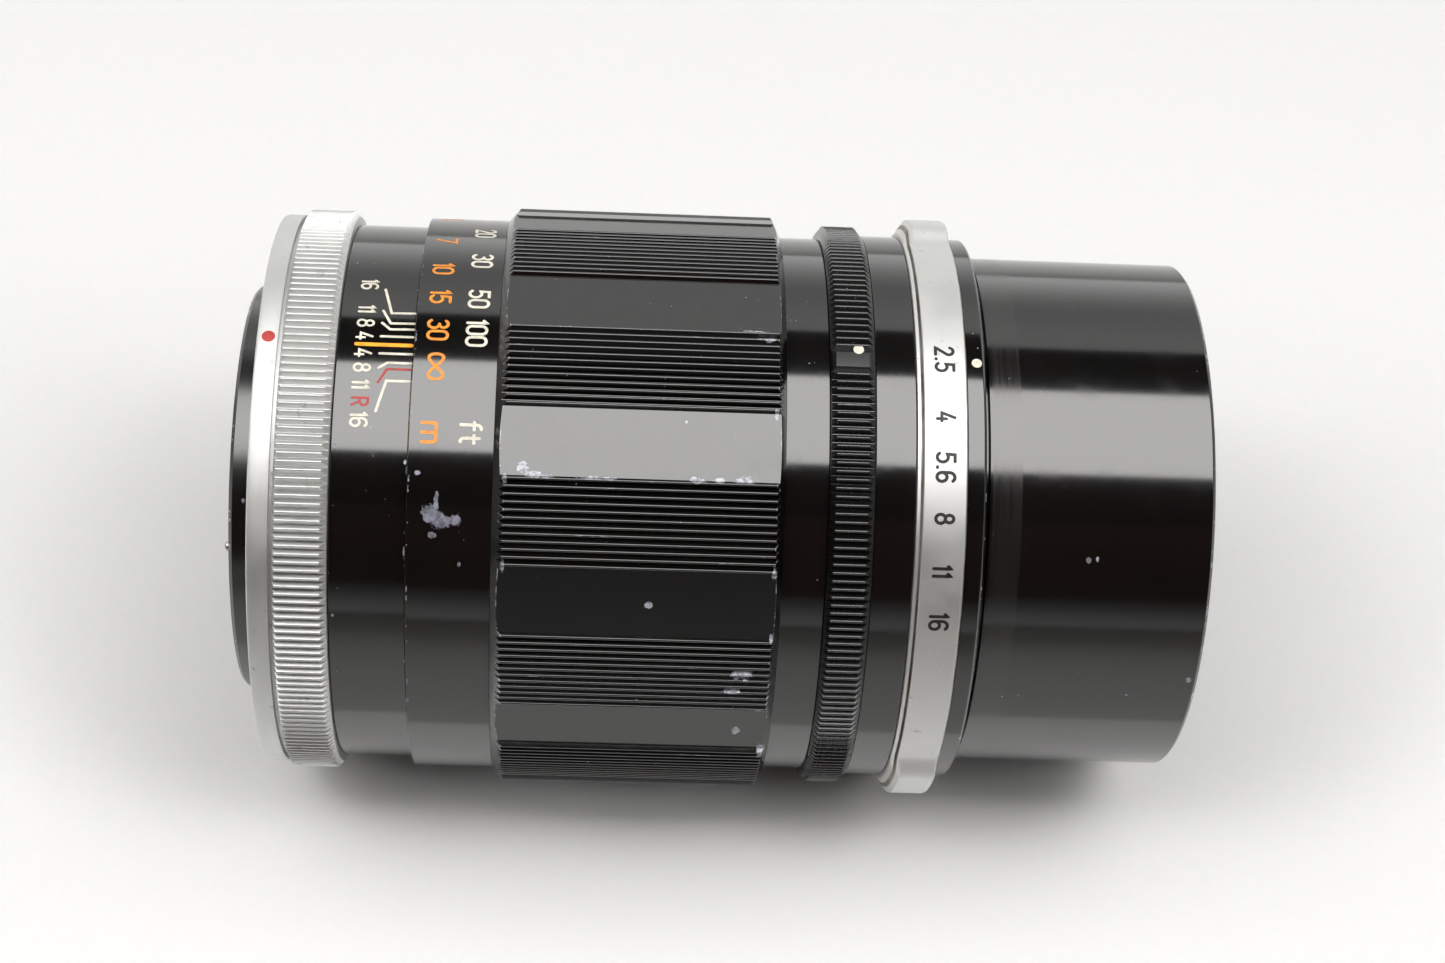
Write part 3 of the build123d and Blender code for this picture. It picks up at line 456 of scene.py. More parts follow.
class Nodes:
    """Short calls that add nodes to one material. Arguments are sockets or plain values."""

    def __init__(self, name):
        self.material = bpy.data.materials.new(name)
        self.material.use_nodes = True
        self.tree = self.material.node_tree
        self.shader = self.tree.nodes["Principled BSDF"]
        self.place = self.add("ShaderNodeTexCoord").outputs["Object"]

    def add(self, kind, **settings):
        node = self.tree.nodes.new(kind)
        for key, value in settings.items():
            setattr(node, key, value)
        return node

    def feed(self, socket, value):
        if isinstance(value, bpy.types.NodeSocket):
            self.tree.links.new(value, socket)
        else:
            socket.default_value = value

    def math(self, operation, a, b=0.0):
        node = self.add("ShaderNodeMath", operation=operation)
        self.feed(node.inputs[0], a)
        self.feed(node.inputs[1], b)
        return node.outputs[0]

    def length(self, a, b):
        """The length of a two-part vector."""
        squares = self.math("ADD", self.math("MULTIPLY", a, a), self.math("MULTIPLY", b, b))
        return self.math("SQRT", squares)

    def scaled(self, vector, factors):
        node = self.add("ShaderNodeVectorMath", operation="MULTIPLY")
        self.feed(node.inputs[0], vector)
        self.feed(node.inputs[1], factors)
        return node.outputs[0]

    def noise(self, vector, scale, detail=2.0, roughness=0.5):
        node = self.add("ShaderNodeTexNoise")
        self.feed(node.inputs["Vector"], vector)
        node.inputs["Scale"].default_value = scale
        node.inputs["Detail"].default_value = detail
        node.inputs["Roughness"].default_value = roughness
        return node.outputs["Fac"]

    def ramp(self, value, low, high, to_low=0.0, to_high=1.0):
        """Smoothly map low..high to to_low..to_high."""
        node = self.add("ShaderNodeMapRange", interpolation_type="SMOOTHSTEP")
        self.feed(node.inputs["Value"], value)
        node.inputs["From Min"].default_value = low
        node.inputs["From Max"].default_value = high
        node.inputs["To Min"].default_value = to_low
        node.inputs["To Max"].default_value = to_high
        return node.outputs["Result"]

    def blend(self, factor, a, b):
        """Mix two colours."""
        node = self.add("ShaderNodeMix", data_type="RGBA")
        self.feed(node.inputs["Factor"], factor)
        self.feed(node.inputs["A"], a)
        self.feed(node.inputs["B"], b)
        return node.outputs["Result"]

    def mix(self, factor, a, b):
        """Mix two numbers."""
        node = self.add("ShaderNodeMix", data_type="FLOAT")
        self.feed(node.inputs["Factor"], factor)
        self.feed(node.inputs["A"], a)
        self.feed(node.inputs["B"], b)
        return node.outputs["Result"]

    def bump(self, height, strength, distance):
        """Small relief in the shading; distance is the depth in mm."""
        node = self.add("ShaderNodeBump")
        node.inputs["Strength"].default_value = strength
        node.inputs["Distance"].default_value = distance * MM
        self.feed(node.inputs["Height"], height)
        return node.outputs["Normal"]

    def most(self, masks):
        """The largest of several masks."""
        result = masks[0]
        for mask in masks[1:]:
            result = self.math("MAXIMUM", result, mask)
        return result

    def set(self, **values):
        for key, value in values.items():
            self.feed(self.shader.inputs[key.replace("_", " ")], value)

    def cylinder(self):
        """Make the piece's cylinder coordinates, in millimetres and degrees."""
        parts = self.add("ShaderNodeSeparateXYZ")
        self.feed(parts.inputs[0], self.place)
        x, y, z = parts.outputs
        self.x = self.math("DIVIDE", x, MM)
        across = self.length(y, z)
        self.r = self.math("DIVIDE", across, MM)
        turn = self.math("ARCTAN2", self.math("MULTIPLY", y, -1.0), z)
        self.angle = self.math("MULTIPLY", turn, 180.0 / math.pi)
        bearing = self.add("ShaderNodeCombineXYZ")
        self.feed(bearing.inputs[0], self.x)
        self.feed(bearing.inputs[1], self.math("DIVIDE", y, across))
        self.feed(bearing.inputs[2], self.math("DIVIDE", z, across))
        self.bearing = bearing.outputs[0]

    def lathe_lines(self, per_mm, sweep):
        """Noise drawn out round the circumference; sweep is how often it changes on the way round."""
        return self.noise(self.scaled(self.bearing, (per_mm, sweep, sweep)), 1.0, 3.0, 0.6)

    def band(self, value, centre, half, soft):
        """1 within half of centre, falling to 0 over soft."""
        distance = self.math("ABSOLUTE", self.math("SUBTRACT", value, centre))
        return self.ramp(distance, half, half + soft, 1.0, 0.0)

    def cone_depth(self, foot, shoulder):
        """Distance in from the surface of a chamfer, given by two (x, r) points of it."""
        run = shoulder[0] - foot[0]
        rise = shoulder[1] - foot[1]
        length = math.hypot(run, rise)
        across = self.math("MULTIPLY", self.math("SUBTRACT", self.x, foot[0]), rise / length)
        up = self.math("MULTIPLY", self.math("SUBTRACT", self.r, foot[1]), run / length)
        return self.math("ABSOLUTE", self.math("SUBTRACT", across, up))

    def patch(self, x, angle, half_x, half_arc, radius_mm, ragged):
        """A worn spot at a station and clock angle, with half sizes in mm and a ragged edge."""
        across = self.math("DIVIDE", self.math("SUBTRACT", self.x, x), half_x)
        arc_scale = math.radians(1.0) * radius_mm / half_arc
        round_way = self.math("MULTIPLY", self.math("SUBTRACT", self.angle, angle), arc_scale)
        distance = self.length(across, round_way)
        rough = self.math("ADD", distance, self.math("MULTIPLY", self.math("SUBTRACT", ragged, 0.5), 2.6))
        return self.ramp(rough, 0.75, 1.0, 1.0, 0.0)


CHIP_METAL = (0.3, 0.3, 0.33)


def lacquer(name, patches=(), seams=(), crest_r=None, gloss=0.1, worn_bands=(), cones=(), metal=CHIP_METAL,
            rub_depth=0.85):
    """Black glossy lacquer on turned aluminium.

    patches are chips (x, angle, half_x, half_arc), and metal is their bare aluminium; seams are stations of
    edges with chipped paint; crest_r is the radius of the ridge tops, which are rubbed, and rub_depth is how
    bare they get; cones are the (foot, shoulder) chamfers whose grooved edges have lost their paint;
    worn_bands are (centre, half width); gloss is the roughness of clean paint."""
    n = Nodes(name)
    n.cylinder()
    lines = n.lathe_lines(9.0, 2.5)
    fine = n.lathe_lines(34.0, 6.0)
    grain = n.noise(n.place, 2600.0, 3.0, 0.6)
    cloud = n.noise(n.place, 110.0, 3.0)
    smudge = n.ramp(n.noise(n.place, 240.0, 4.0, 0.65), 0.5, 0.72)
    colour = n.blend(cloud, (0.0009, 0.0008, 0.0007, 1), (0.0022, 0.0018, 0.0015, 1))
    roughness = n.math("ADD", n.math("MULTIPLY", lines, 0.06), gloss - 0.03)
    roughness = n.math("ADD", roughness, n.math("MULTIPLY", smudge, 0.035))
    for centre, half in worn_bands:
        rubbed = n.math("MULTIPLY", n.band(n.x, centre, half, 0.25), n.ramp(lines, 0.3, 0.7, 0.4, 1.0))
        roughness = n.math("ADD", roughness, n.math("MULTIPLY", rubbed, 0.06))
        colour = n.blend(n.math("MULTIPLY", rubbed, 0.25), colour, (0.022, 0.021, 0.02, 1))
    ragged = n.noise(n.place, 700.0, 4.0, 0.75)
    specks = n.ramp(n.noise(n.place, 3400.0, 0.0), 0.87, 0.89)
    chips = [n.math("MULTIPLY", specks, n.ramp(cloud, 0.5, 0.56))]
    for x, angle, half_x, half_arc in patches:
        chips.append(n.patch(x, angle, half_x, half_arc, 32.0, ragged))
    broken = n.noise(n.place, 520.0, 3.0, 0.7)
    for station in seams:
        chips.append(n.math("MULTIPLY", n.band(n.x, station, 0.03, 0.08), n.ramp(broken, 0.58, 0.62)))
    for foot, shoulder in cones:
        rim = n.band(n.cone_depth(foot, shoulder), 0.06, 0.02, 0.03)
        chips.append(n.math("MULTIPLY", rim, n.ramp(broken, 0.5, 0.58, 0.06, 0.7)))
    if crest_r:
        ridge = n.ramp(n.r, crest_r - 0.03, crest_r - 0.01)
        rub = n.noise(n.scaled(n.place, (110.0, 700.0, 700.0)), 1.0, 4.0, 0.75)
        chips.append(n.math("MULTIPLY", ridge, n.ramp(rub, 0.62, 0.7, 0.03, rub_depth)))
    bare = n.most(chips)
    speckle = n.noise(n.place, 1500.0, 2.0, 0.7)
    dull = tuple(c * 0.5 for c in metal) + (1,)
    bright = tuple(min(1.0, c * 1.35) for c in metal) + (1,)
    n.set(Base_Color=n.blend(bare, colour, n.blend(n.ramp(speckle, 0.35, 0.65), dull, bright)))
    n.set(Metallic=n.math("MULTIPLY", bare, 0.6), Roughness=n.mix(bare, roughness, 0.5), IOR=1.9)
    height = n.math("ADD", n.math("MULTIPLY", fine, 0.5), n.math("MULTIPLY", grain, 0.12))
    height = n.math("SUBTRACT", height, n.math("MULTIPLY", bare, 1.5))
    n.set(Normal=n.bump(height, 0.3, 0.004))
    return n.material


def plated(name, tone, roughness, grain_depth, groove_shade=()):
    """Satin plating with a fine blasted grain and random soiling; groove_shade holds (station, half width)
    of grooves darkened brown with painted shade.
    """
    n = Nodes(name)
    n.cylinder()
    grain = n.noise(n.place, 5200.0, 3.0, 0.65)
    cloud = n.noise(n.place, 160.0, 4.0, 0.6)
    # Random soiling, and painted shade in the groove bands, turn the plating brown and less metallic.
    dirt_and_groove_shade = [n.ramp(n.noise(n.place, 420.0, 4.0, 0.7), 0.62, 0.72, 0.0, 0.5)]
    for station, half in groove_shade:
        dirt_and_groove_shade.append(n.math("MULTIPLY", n.band(n.x, station, half, 0.1), n.ramp(cloud, 0.3, 0.7, 0.55, 1.0)))
    soiled_and_shaded = n.most(dirt_and_groove_shade)
    light = tuple(min(1.0, c * 1.06) for c in tone) + (1,)
    dark = tuple(c * 0.93 for c in tone) + (1,)
    colour = n.blend(cloud, dark, light)
    n.set(Base_Color=n.blend(soiled_and_shaded, colour, (0.10, 0.075, 0.05, 1)))
    n.set(Metallic=n.mix(soiled_and_shaded, 1.0, 0.3))
    rough = n.ramp(cloud, 0.3, 0.7, roughness - 0.04, roughness + 0.05)
    n.set(Roughness=rough, Normal=n.bump(grain, 0.5, grain_depth))
    return n.material


def machined(name, tone, roughness, lines_per_mm=14.0):
    """Turned metal with its circular tool marks."""
    n = Nodes(name)
    n.cylinder()
    lines = n.lathe_lines(lines_per_mm, 1.5)
    rings = n.noise(n.scaled(n.place, (60.0, 1.0, 1.0)), 18.0, 3.0)
    cloud = n.noise(n.place, 200.0, 4.0, 0.6)
    light = tuple(min(1.0, c * 1.15) for c in tone) + (1,)
    dark = tuple(c * 0.8 for c in tone) + (1,)
    n.set(Base_Color=n.blend(n.math("MULTIPLY", n.math("ADD", lines, cloud), 0.5), dark, light))
    n.set(Metallic=1.0, Roughness=n.ramp(rings, 0.3, 0.7, roughness - 0.06, roughness + 0.08))
    n.set(Normal=n.bump(lines, 0.4, 0.01))
    return n.material


def baffle_black(name):
    """Dead-black paint inside the barrels."""
    n = Nodes(name)
    grain = n.noise(n.place, 3000.0, 4.0, 0.7)
    n.set(Base_Color=n.blend(grain, (0.004, 0.004, 0.0045, 1), (0.016, 0.015, 0.014, 1)))
    n.set(Roughness=n.ramp(grain, 0.3, 0.7, 0.5, 0.75), Normal=n.bump(grain, 0.6, 0.03))
    return n.material


def paint(name, tone, lost=0.66):
    """Engraving paint, slightly chalky, with flecks missing."""
    n = Nodes(name)
    cloud = n.noise(n.place, 900.0, 4.0, 0.7)
    fleck = n.ramp(n.noise(n.place, 2600.0, 2.0, 0.7), lost, lost + 0.06)
    light = tone + (1,)
    dark = tuple(c * 0.72 for c in tone) + (1,)
    colour = n.blend(n.ramp(cloud, 0.35, 0.65), dark, light)
    n.set(Base_Color=n.blend(fleck, colour, tuple(c * 0.35 for c in tone) + (1,)))
    n.set(Roughness=n.ramp(cloud, 0.3, 0.7, 0.38, 0.6), Normal=n.bump(cloud, 0.4, 0.02))
    return n.material


def coated_glass(name, film):
    """Clear glass with a thin anti-reflection film and a trace of dust."""
    n = Nodes(name)
    dust = n.ramp(n.noise(n.place, 1800.0, 2.0, 0.7), 0.72, 0.76, 0.0, 0.25)
    n.set(Base_Color=n.blend(dust, (0.97, 0.98, 0.99, 1), (0.6, 0.6, 0.58, 1)))
    n.set(Roughness=n.mix(dust, 0.0, 0.35), IOR=1.62, Transmission_Weight=1.0)
    n.set(Thin_Film_Thickness=film, Thin_Film_IOR=1.38)
    return n.material


# Paint chips: (station, clock angle, half length, half arc length)
CHIPS_ON_SCALE = [
    (17.5, 44.2, 0.85, 1.0), (18.9, 45.6, 1.1, 0.9), (20.4, 45.2, 0.75, 0.65), (18.3, 41.6, 0.28, 1.5),
    (18.0, 48.2, 0.45, 0.3), (22.3, 26.3, 0.25, 0.2), (16.2, 36.5, 0.3, 0.25), (20.9, 53.8, 0.2, 0.3),
]
CHIPS_ON_GRIP = [
    (27.6, 35.2, 0.8, 0.7), (28.6, 36.3, 1.2, 0.4), (30.2, 36.5, 0.9, 0.3), (35.5, 36.6, 2.2, 0.22),
    (46.3, 36.4, 0.9, 0.4), (48.6, 36.4, 0.7, 0.35), (51.6, 36.2, 1.2, 0.4), (52.3, 6.4, 2.0, 0.35),
    (53.5, 8.2, 1.2, 0.3), (41.5, 60.3, 0.4, 0.4), (52.0, 74.5, 1.3, 0.6), (51.0, 78.0, 0.9, 0.5),
    (51.8, 90.5, 0.5, 0.9), (54.8, 97.0, 0.5, 1.2), (25.6, 37.0, 0.25, 0.6), (25.6, 53.0, 0.25, 0.8),
    (54.9, 53.4, 0.3, 0.6), (54.7, 23.5, 0.25, 0.5), (55.0, 66.5, 0.25, 0.5), (45.0, 25.5, 0.3, 0.2),
]
CHIPS_ON_TUBE = [
    (89.6, 50.1, 0.28, 0.4), (90.6, 50.0, 0.18, 0.35), (95.8, 83.0, 0.2, 0.15), (102.4, 78.0, 0.25, 0.5),
]
CHIPS_ON_BARREL = [
    (14.8, 34.3, 0.2, 0.4), (14.9, 52.0, 0.12, 0.5), (7.1, 31.5, 0.15, 0.3), (7.2, 66.0, 0.15, 0.25),
]
CHIPS_ON_INDEX = [(77.6, 95.0, 0.2, 0.7)]
CHIPS_ON_GUARD = [(-3.4, 44.0, 0.3, 0.5)]

SCALE_CHIP_METAL = (0.17, 0.17, 0.21)
GRIP_CONES = (((GRIP_REAR, 32.6), (25.5, GRIP_R)), ((GRIP_FRONT, 32.1), (54.96, GRIP_R)))
MODE_CONES = (((MODE_REAR, MODE_R - 0.75), (MODE_REAR + 0.6, MODE_R)),
              ((MODE_FRONT, MODE_R - 0.9), (MODE_FRONT - 0.8, MODE_R)))

BLACK_BARREL = lacquer("black_lacquer_barrel", CHIPS_ON_BARREL, (BARREL_FRONT - 0.05,))
BLACK_SCALE = lacquer("black_lacquer_scale", CHIPS_ON_SCALE, (SCALE_REAR,), metal=SCALE_CHIP_METAL)
BLACK_GRIP = lacquer("black_lacquer_grip", CHIPS_ON_GRIP, crest_r=GRIP_R, gloss=0.12, cones=GRIP_CONES)
BLACK_SHROUD = lacquer("black_lacquer_shroud")
BLACK_MODE = lacquer("black_lacquer_mode", crest_r=MODE_R, gloss=0.26, rub_depth=0.3)
BLACK_COLLAR = lacquer("black_lacquer_collar")
BLACK_INDEX = lacquer("black_lacquer_index", CHIPS_ON_INDEX, (INDEX_FRONT - 0.02,))
BLACK_TUBE = lacquer("black_lacquer_tube", CHIPS_ON_TUBE, (TUBE_FRONT - 0.2,), gloss=0.11,
                     worn_bands=((80.4, 1.5),))
BLACK_GUARD = lacquer("black_lacquer_guard", CHIPS_ON_GUARD, (-4.9,), gloss=0.22)
CHROME = plated("satin_chrome", (0.7, 0.7, 0.69), 0.53, 0.02)
# The two bands are painted shade: brown darkening in the rear groove and at the front joint.
ALUMINIUM = plated("satin_aluminium", (0.72, 0.72, 0.705), 0.52, 0.025,
                   ((70.7, 0.1), (APERTURE_FRONT, 0.08)))
STEEL = machined("bright_steel", (0.55, 0.54, 0.52), 0.3)
DARK_STEEL = machined("dark_steel", (0.05, 0.05, 0.052), 0.4)
BRASS = machined("brass", (0.62, 0.43, 0.17), 0.28)
GREY_ALUMINIUM = machined("turned_aluminium", (0.5, 0.5, 0.5), 0.35)
BLADE = machined("blade_steel", (0.035, 0.035, 0.04), 0.38, 4.0)
BAFFLE = baffle_black("baffle_black")
CREAM = paint("cream_paint", (0.48, 0.455, 0.38))
ORANGE = paint("orange_paint", (0.55, 0.185, 0.012))
AMBER = paint("amber_paint", (0.72, 0.27, 0.006), 0.75)
RED = paint("red_paint", (0.27, 0.02, 0.015))
BLACK_PAINT = paint("black_paint", (0.01, 0.009, 0.008), 0.78)
FRONT_GLASS = coated_glass("coated_glass_front", 420.0)
INNER_GLASS = coated_glass("coated_glass_inner", 300.0)
REAR_GLASS = coated_glass("coated_glass_rear", 380.0)


# ---- Mount end

def make_breech_ring():
    knurl_r = radius("breech_ring")
    band_r = 32.35
    groove_r = 31.6
    inner = [(BREECH_FRONT, knurl_r - 1.1), (BREECH_FRONT, 28.7), (BREECH_FRONT - 0.1, 28.6), (4.6, 28.6),
             (4.6, 30.1), (-0.9, 30.1), (-0.9, 30.5), (BREECH_REAR, 30.5), (BREECH_REAR, band_r - 0.35),
             (BREECH_REAR + 0.12, band_r - 0.1), (BREECH_REAR + 0.35, band_r), (0.25, band_r),
             (0.33, band_r - 0.06), (0.33, groove_r), (0.78, groove_r)]
    rear = ((0.78, knurl_r - 0.7), (1.1, knurl_r))
    front = ((BREECH_FRONT, knurl_r - 0.72), (5.93, knurl_r))
    ring = knurled("breech_ring_knurled", inner, rear, front, knurl(226, knurl_r, 0.68, INDEX))
    dress(ring, "breech", CHROME, ["breech_ring"])
    dot = Marks(band_r, 0.0)
    dot.disc(-0.7, INDEX, 1.45)
    dot.piece("red_mount_dot", "breech", "satin_chrome", RED)


def make_main_barrel():
    outline = [(BARREL_REAR, 28.5), (8.0, 28.5), (8.0, 24.8), (45.0, 24.8), (45.0, 26.3), (12.1, 26.3),
               (12.1, 29.5), (BARREL_FRONT, 29.5), (BARREL_FRONT, BARREL_R), (BARREL_REAR, BARREL_R)]
    barrel = turned("depth_scale_barrel", outline)
    dress(barrel, "mount", BLACK_BARREL, ["main_barrel"])


def make_depth_scale():
    """Numerals, guide lines and the focus index of the depth-of-field scale."""
    numerals = 9.57
    line_end = BARREL_FRONT - 0.12
    white = Marks(BARREL_R)
    for word, angle in (("16", -6.66), ("11", 0.64), ("8", 4.35), ("4", 7.6), ("4", 11.65), ("8", 15.0),
                        ("11", 18.7), ("16", 26.1)):
        white.text(word, numerals, angle, 1.75, 0.27)
    for start, knee, end in ((-5.2, 1.6, 1.5), (0.95, 4.3, 4.2), (4.2, 5.8, 5.7), (15.0, 13.8, 13.8),
                             (24.3, 17.8, 17.8)):
        white.line([(11.35, start), (12.3, knee), (line_end, end)], 0.3)
    for angle in (7.6, 11.7):
        white.line([(11.35, angle), (line_end, angle)], 0.3)
    white.piece("depth_scale_marks", "mount", "black_lacquer", CREAM)
    red = Marks(BARREL_R)
    red.text("R", numerals, 22.35, 1.75, 0.27)
    red.line([(11.4, 18.15), (12.3, 15.2), (line_end, 15.2)], 0.27)
    red.piece("infrared_mark", "mount", "black_lacquer", RED)
    index = Marks(BARREL_R, 0.024)
    index.line([(8.75, INDEX), (line_end - 0.1, INDEX)], 0.46)
    index.piece("focus_index_line", "mount", "black_lacquer", AMBER)


# ---- Focusing ring

def make_scale_ring():
    lip = BARREL_FRONT + 0.12
    outline = [(lip, BARREL_R + 0.1), (HELICOID_FLANGE_END, BARREL_R + 0.1),
               (HELICOID_FLANGE_END, HELICOID_R), (SCALE_FRONT, HELICOID_R), (SCALE_FRONT, SCALE_R),
               (lip, SCALE_R)]
    ring = turned("scale_ring", outline)
    dress(ring, "focusing", BLACK_SCALE, ["distance_scale_ring"])
    metres = Marks(SCALE_R)
    for word, angle in (("30", 6.95), ("15", -1.5), ("10", -10.1), ("7", -21.6), ("5", -40.0),
                        ("4", -58.0), ("3", -86.0), ("2.5", -114.0), ("2", -150.0), ("1.7", -178.0)):
        metres.text(word, 17.6, angle, 2.15, 0.34)
    metres.text("~", 17.95, 15.25, 2.2, 0.36)
    metres.text("m", 17.4, 28.7, 1.85, 0.36)
    metres.piece("metre_numerals", "focusing", "black_lacquer", ORANGE)
    feet = Marks(SCALE_R)
    for word, angle in (("100", 7.45), ("50", -1.25), ("30", -13.4), ("20", -26.5), ("15", -41.0),
                        ("12", -58.0), ("10", -80.0), ("8", -112.0), ("7", -144.0), ("6", -172.0)):
        feet.text(word, 21.85, angle, 2.15, 0.34)
    feet.text("f", 21.75, 27.3, 2.25, 0.34)
    feet.text("t", 21.75, 29.9, 2.25, 0.34)
    feet.piece("feet_numerals", "focusing", "black_lacquer", CREAM)


def make_grip():
    bore_r = 31.75
    inner = [(GRIP_FRONT, bore_r), (GRIP_REAR + 2, bore_r), (GRIP_REAR + 2, HELICOID_R),
             (GRIP_REAR, HELICOID_R)]
    grip = knurled("focus_grip_ridged", inner, *GRIP_CONES, grip_columns())
    dress(grip, "focusing", BLACK_GRIP, ["focus_grip"])


# ---- Front section

def make_front_barrel():
    outline = [(37.0, 30.4), (54.0, 30.4), (54.0, 28.4), (58.0, 28.4), (58.0, 29.0), (77.7, 29.0),
               (77.7, RING_SEAT_R), (60.65, RING_SEAT_R), (60.65, 31.65), (37.0, 31.65)]
    barrel = turned("front_barrel_shroud", outline)
    dress(barrel, "front_section", BLACK_SHROUD, ["front_barrel"])


def make_mode_ring():
    inner = [(MODE_FRONT, RING_BORE_R), (MODE_REAR, RING_BORE_R)]
    columns = knurl(224, MODE_R, 0.7, INDEX, (5.3, 13.6))
    ring = knurled("mode_ring_knurled", inner, *MODE_CONES, columns)
    dress(ring, "mode", BLACK_MODE, ["mode_ring"])
    dot = Marks(MODE_R - 0.1, 0.0)
    dot.disc(63.7, 9.0, 1.15)
    dot.piece("mode_dot", "mode", "black_lacquer", CREAM)


def make_collar():
    outline = [(COLLAR_REAR, RING_SEAT_R), (COLLAR_FRONT, RING_SEAT_R), (COLLAR_FRONT, COLLAR_R),
               (COLLAR_REAR, COLLAR_R)]
    collar = turned("collar", outline)
    dress(collar, "front_section", BLACK_COLLAR, ["middle_collar"])


def ear_rise(angle):
    """How far a finger ear stands up at a clock angle, from 0 to 1."""
    centre = 126.5
    full = 19.8
    ramp = 6.0
    away = abs((angle - centre + 90) % 180 - 90)
    share = min(1.0, max(0.0, (full + ramp - away) / ramp))
    return share * share * (3 - 2 * share)


def make_aperture_ring():
    rear = APERTURE_REAR
    front = APERTURE_FRONT
    low = APERTURE_R
    # (station, radius on the plain band, radius on an ear)
    rows = [(front, RING_BORE_R, RING_BORE_R), (rear, RING_BORE_R, RING_BORE_R),
            (rear, 32.2, 32.5), (rear + 0.08, 32.38, 32.72),
            (rear + 0.43, 32.4, 33.2), (rear + 0.48, 32.33, 33.28), (rear + 0.5, 32.0, 33.32),
            (rear + 0.68, 32.0, 33.6), (rear + 0.71, low - 0.09, 33.66), (rear + 0.8, low, 33.8),
            (rear + 1.15, low, 34.3), (rear + 1.3, low, EAR_R), (front - 0.5, low, EAR_R),
            (front - 0.3, low, EAR_R - 0.08), (front - 0.18, low, EAR_R - 0.35),
            (front - 0.13, low - 0.02, 33.0), (front, low - 0.16, 32.75)]
    steps = 720
    angles = [ROUND * j / steps for j in range(steps)]
    columns = [[(x, base + (ear - base) * ear_rise(angle)) for x, base, ear in rows] for angle in angles]
    ring = skin("aperture_ring_eared", columns, angles)
    dress(ring, "aperture", ALUMINIUM, ["aperture_ring"])
    stops = Marks(APERTURE_R)
    for word, angle in (("2.5", 10.15), ("4", 22.45), ("5.6", 32.35), ("8", 42.15), ("11", 52.25),
                        ("16", 62.45)):
        stops.text(word, 73.2, angle, 1.95, 0.36, 0.27)
    stops.piece("aperture_numerals", "aperture", "satin_aluminium", BLACK_PAINT)


def make_index_ring():
    outline = [(INDEX_REAR, RING_SEAT_R), (INDEX_FRONT, RING_SEAT_R), (INDEX_FRONT, INDEX_R - 0.3),
               (INDEX_FRONT - 0.3, INDEX_R), (INDEX_REAR, INDEX_R)]
    ring = turned("index_ring_turned", outline)
    dress(ring, "front_section", BLACK_INDEX, ["index_ring"])
    dot = Marks(INDEX_R, 0.0)
    dot.disc(76.85, 10.15, 1.15)
    dot.piece("aperture_index_dot", "front_section", "black_lacquer", CREAM)


def make_front_tube():
    """The front barrel, with the grooves of its filter thread."""
    bore_r = 28.05
    minor_r = 28.6
    pitch = 0.75
    outline = [(75.0, bore_r), (97.9, bore_r), (98.4, minor_r)]
    for turn in range(6):
        start = 98.6 + turn * pitch
        outline += [(start, minor_r), (start + 0.3, minor_r + 0.4), (start + 0.38, minor_r + 0.4),
                    (start + 0.68, minor_r)]
    outline += [(TUBE_FRONT - 0.2, minor_r), (TUBE_FRONT, minor_r + 0.2), (TUBE_FRONT, TUBE_R - 0.4),
                (TUBE_FRONT - 0.4, TUBE_R), (TUBE_REAR, TUBE_R), (TUBE_REAR, 29.0), (75.0, 29.0)]
    tube = turned("front_tube_threaded", outline)
    dress(tube, "front_section", BLACK_TUBE, ["front_tube"])


def make_front_bezel():
    """The ring in front of the glass, with steps that break up stray light."""
    rear, front = span("front_bezel")
    outer_r = radius("front_bezel")
    steps = 6
    outline = [(rear, outer_r), (rear, 26.9)]
    for i in range(steps):
        x = rear + 0.6 + i * (front - rear - 0.8) / steps
        r = 26.9 + 0.55 * i / steps
        outline += [(x, r), (x + 0.15, r + 0.18), (x + 0.75, r + 0.18), (x + 0.8, r + 0.06)]
    outline += [(front, 27.5), (front, outer_r)]
    bezel = turned("front_bezel_stepped", outline, 0.03)
    dress(bezel, "front_section", BAFFLE, ["front_bezel"])


def make_glass():
    elements = {
        "front_element": ((92.0, 70, 27.2), (83.4, -400, 27.2), 27.6, FRONT_GLASS),
        "second_element": ((82.6, 60, 24.7), (74.6, 0, 24.7), 25.0, INNER_GLASS),
        "third_element": ((74.6, 0, 24.7), (72.4, 38, 20.5), 25.0, INNER_GLASS),
        "fourth_element": ((54.0, -60, 17.0), (52.4, 45, 17.0), 18.5, INNER_GLASS),
        "fifth_element": ((45.4, 90, 19.2), (39.4, -90, 19.2), 19.5, INNER_GLASS),
        "sixth_element": ((39.4, -90, 19.2), (37.4, -150, 19.2), 19.5, REAR_GLASS),
    }
    for node, (front, rear, rim_r, material) in elements.items():
        piece = glass_piece(node + "_polished", front, rear, rim_r)
        dress(piece, "front_section", material, [node])


# ---- CAD pieces that keep their shape

KEPT = {
    CHROME: ("mount_flange",),
    STEEL: ("breech_lug_ring", "lug_ring_screws", "mount_screws", "locating_pin", "stop_down_pin",
            "key_screws", "rear_cell_screws", "aperture_drive_screw", "lever_spring", "lever_circlip",
            "click_ball", "click_spring", "focus_stop_pin", "stop_down_rod", "iris_circlip"),
    DARK_STEEL: ("grip_screws", "barrel_screws", "collar_screws"),
    BLACK_GUARD: ("rear_guard",),
    BLADE: tuple(f"iris_blade_{number}" for number in range(1, 9)),
}


